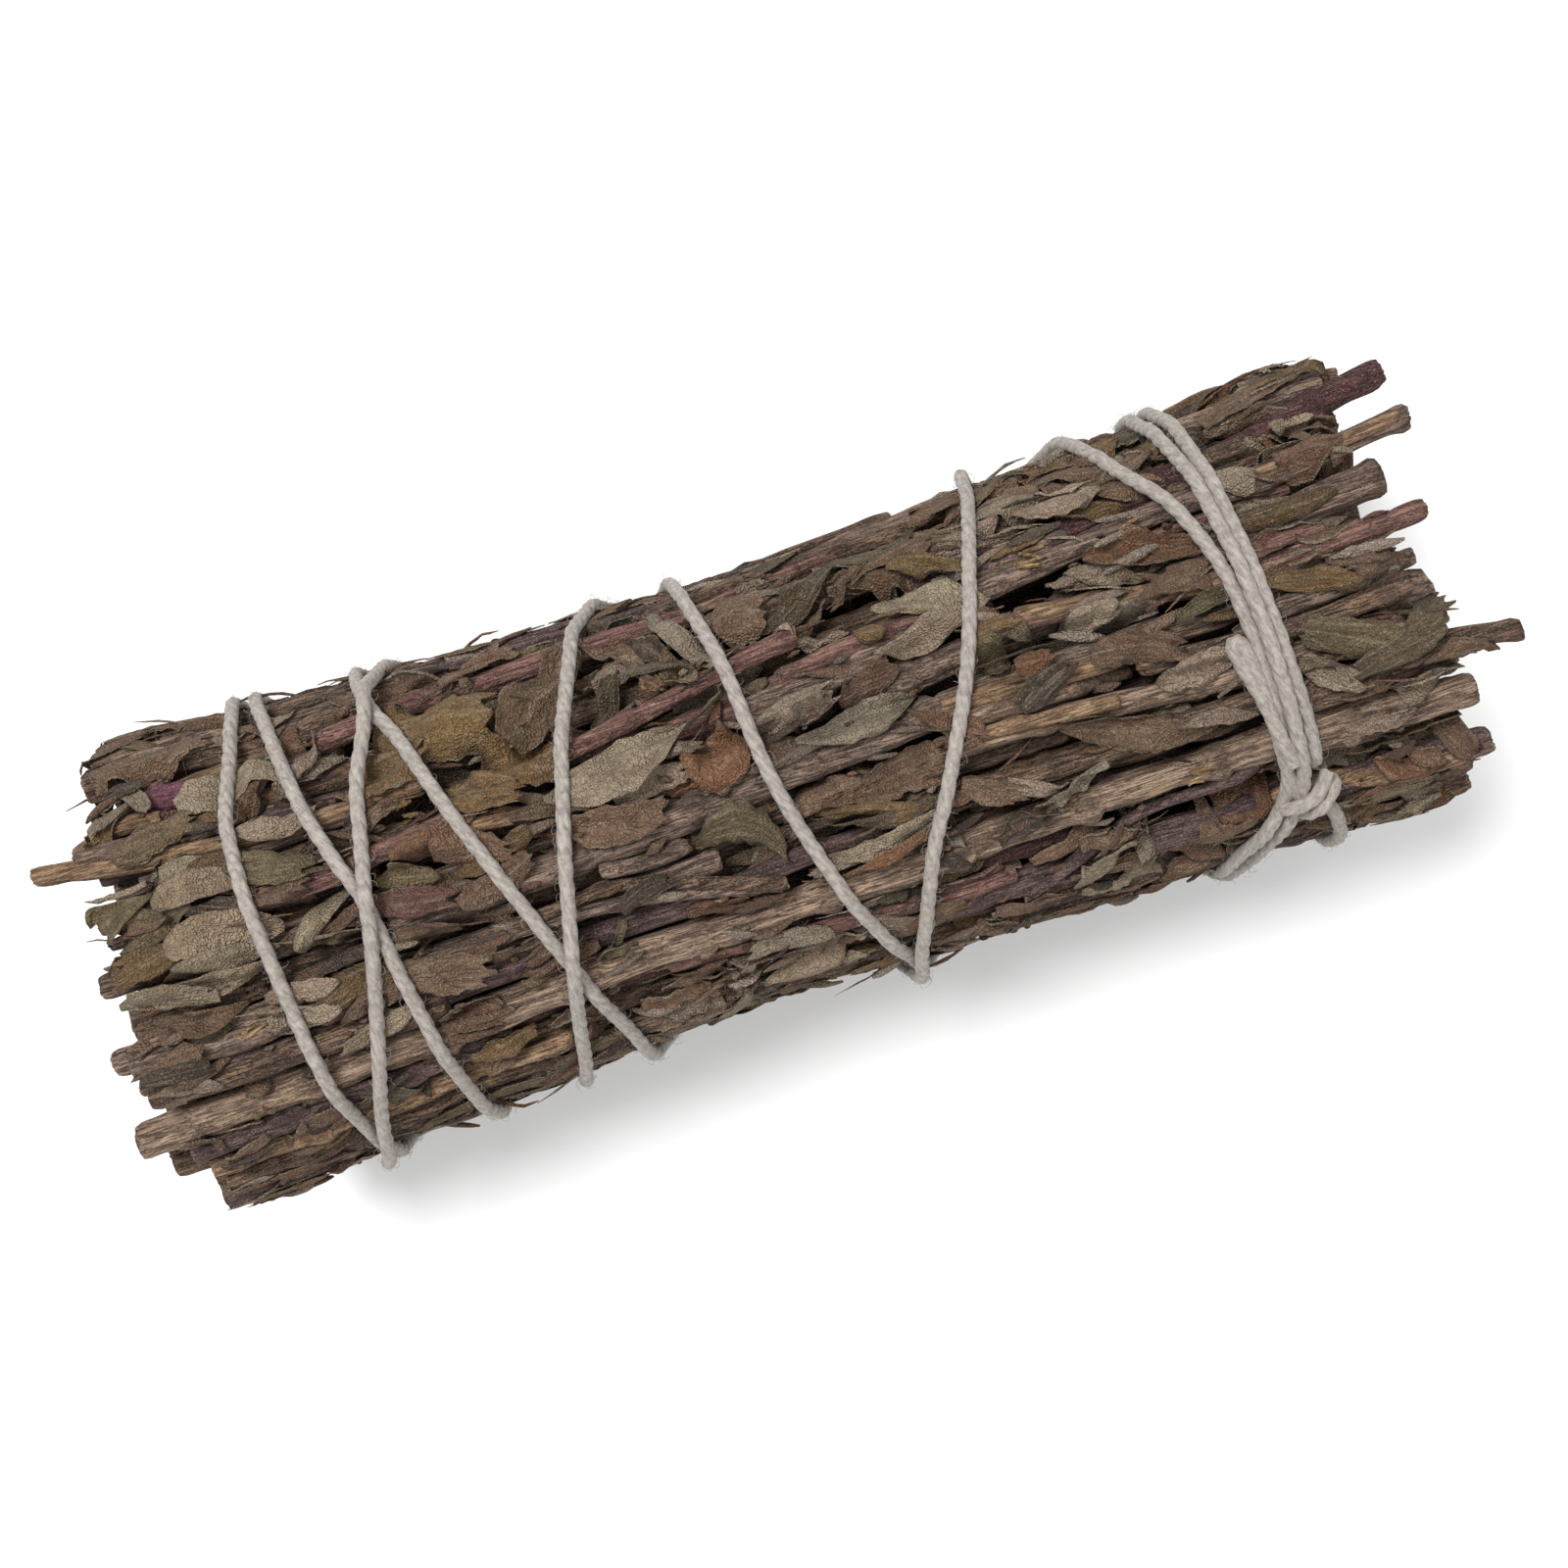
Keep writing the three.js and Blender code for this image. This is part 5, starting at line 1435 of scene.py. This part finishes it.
def make_bits(skin, leaf):
    """Rolled leaflets and crumbs lodged all over the bundle."""
    random = np.random.default_rng(SEED + 5)
    tree = bits_tree(leaf)
    for name, (count, length, thick, bend, tints) in BITS.items():
        x = random.uniform(-47, 46, count)
        degrees = random.uniform(-180, 180, count)
        ground = skin.read(skin.reach, x, degrees)
        beside = product((-0.8, 0, 0.8), (-5, 5))
        around = [skin.read(skin.reach, x + dx, degrees + turn) for dx, turn in beside]
        reach = np.minimum(ground, np.mean(around, axis=0) + 0.2) + thick * 0.5
        reach = np.minimum(reach, skin.read(skin.lid, x, degrees) - thick * 0.8)
        for low_x, high_x, low_turn, high_turn in CLEAR_LEAVES:
            over = (x > low_x) & (x < high_x) & (degrees > low_turn) & (degrees < high_turn)
            reach[over] -= BURIED
        places = on_bundle(x, degrees, reach)
        places[:, 2] = np.maximum(places[:, 2], 1.0)
        mesh = bpy.data.meshes.new(name + "_places")
        mesh.from_pydata((places * MM).tolist(), [], [])
        turn = random.normal(0, 0.22, count)
        facing = np.stack([-np.radians(degrees), random.normal(0, 0.12, count), turn], axis=-1)
        size = np.stack([random.uniform(0.5, most, count) for most in (1.5, 1.4, 1.4)], axis=-1)
        chosen = np.array(tints)[random.integers(len(tints), size=count)]
        tint = chosen * random.uniform(0.8, 1.15, (count, 1))
        along, own = random.uniform(0, 5, count), random.uniform(0, 9, count)
        blade = np.stack([along, np.full(count, 0.5), own], axis=-1)
        store(mesh, facing=facing, size=size, tint=tint, blade=blade)
        sizes = {
            "Length": length * MM, "Thickness": thick * MM, "Bend": bend * MM,
            "Unevenness": 0.45 * MM, "Noise Scale": 1300.0,
        }
        new_piece(name, grown(tree, mesh, name, **sizes), leaf)


# ---------------------------------------------------------------- stage, light and camera


def make_stage():
    corners = [(-3000, -3000, 0), (3000, -3000, 0), (3000, 3000, 0), (-3000, 3000, 0)]
    floor = bpy.data.objects.new("floor", new_mesh("floor", corners, [(0, 1, 2, 3)]))
    bpy.context.scene.collection.objects.link(floor)
    material, tree = new_material("floor_white")
    shader = add(tree, "ShaderNodeBsdfPrincipled", {"Base Color": (0.86, 0.86, 0.86, 1), "Roughness": 0.9})
    add(tree, "ShaderNodeOutputMaterial", {"Surface": shader.outputs[0]})
    floor.data.materials.append(material)


def add_light(name, place, size, watts):
    light = bpy.data.lights.new(name, "AREA")
    light.shape = "DISK"
    light.size = size
    light.energy = watts
    made = bpy.data.objects.new(name, light)
    made.location = place
    towards = -np.array(place)
    made.rotation_euler = (
        math.acos(-towards[2] / np.linalg.norm(towards)),
        0,
        math.atan2(towards[1], towards[0]) - math.pi / 2,
    )
    bpy.context.scene.collection.objects.link(made)


def make_lights():
    add_light("key", (-0.22, 0.28, 0.80), 0.34, 7.6)
    add_light("fill", (0.25, -0.30, 0.80), 0.9, 3.0)
    world = bpy.data.worlds.new("studio")
    world.use_nodes = True
    world.node_tree.nodes["Background"].inputs[0].default_value = (1, 1, 1, 1)
    world.node_tree.nodes["Background"].inputs[1].default_value = 0.55
    bpy.context.scene.world = world
    bpy.context.scene.view_settings.view_transform = "Standard"


CAMERA_HEIGHT = 172.0  # above the bundle's axis
VIEW_WIDTH = 120.0  # at the level of the bundle's axis
BUNDLE_TILT = 18.24  # degrees that the bundle rises to the right in the view


def make_camera():
    camera = bpy.data.cameras.new("camera")
    camera.angle = 2 * math.atan(VIEW_WIDTH / 2 / CAMERA_HEIGHT)
    camera.clip_start = 0.01
    made = bpy.data.objects.new("camera", camera)
    made.location = np.array((-0.1, AXIS_Y - 0.67, AXIS_Z + CAMERA_HEIGHT)) * MM
    made.rotation_euler = (0, 0, -math.radians(BUNDLE_TILT))
    bpy.context.scene.collection.objects.link(made)
    bpy.context.scene.camera = made


# ---------------------------------------------------------------- the whole bundle

# Stems that lie on the leaves and not among them.
PROUD_STEMS = [
    "stem_pale_long", "stem_grey_centre", "twig_tan_proud", "twig_pink_upper", "stem_rising_grey",
    "stem_wine_red", "stem_rose_knotted", "twig_rose_left", "stem_pink_proud", "stem_grey_knot_end",
    "stem_peeled", "stub_knot_end", "twig_leafy_proud", "twig_bowed", "stem_purple_thin",
    "stem_purple_lower", "stem_brown_knot_end", "stem_umber_lower", "stem_grey_upper", "stem_purple_under",
    "stem_far_03", "stem_far_05", "stem_far_08", "stem_far_10", "stem_far_12",
]


# Where stems are seen from above, as (from x, to x).
SHOWN_STEMS = {
    "stem_pale_long": (-46, 50),
    "stem_grey_centre": (-22, 26),
    "twig_tan_proud": (-56, -30),
    "twig_pink_upper": (-32, -4),
    "stem_rising_grey": (-4, 34),
    "stem_wine_red": (34, 52),
    "stem_pink_proud": (34, 52),
    "stem_grey_knot_end": (34, 52),
    "stem_grey_upper": (10, 34),
    "twig_leafy_proud": (34, 56),
    "stem_purple_thin": (14, 33),
    "stem_brown_knot_end": (26, 52),
    "stub_knot_end": (34, 52),
    "stem_peeled": (14, 34),
    "twig_bowed": (-24, 0),
    "stem_umber_lower": (-50, -10),
}


def build():
    make_camera()
    bark = {kind: bark_material(kind) for kind in BARKS}
    leaf = leaf_material()
    cotton = cotton_material()
    lines = make_stems(bark)
    every, low = Skin(), Skin()
    for node, (line, radius) in lines.items():
        every.add_stem(line, radius)
        if node not in PROUD_STEMS:
            low.add_stem(line, radius)
    samples = wind_string(every)
    every.close_lid(LID_SPARE)
    low.lid = every.lid
    put_lid(low, samples)
    skin = make_leaves(low, lines, leaf, bark)
    make_bits(skin, leaf)
    make_string(samples, cotton)
    make_stage()
    make_lights()


build()
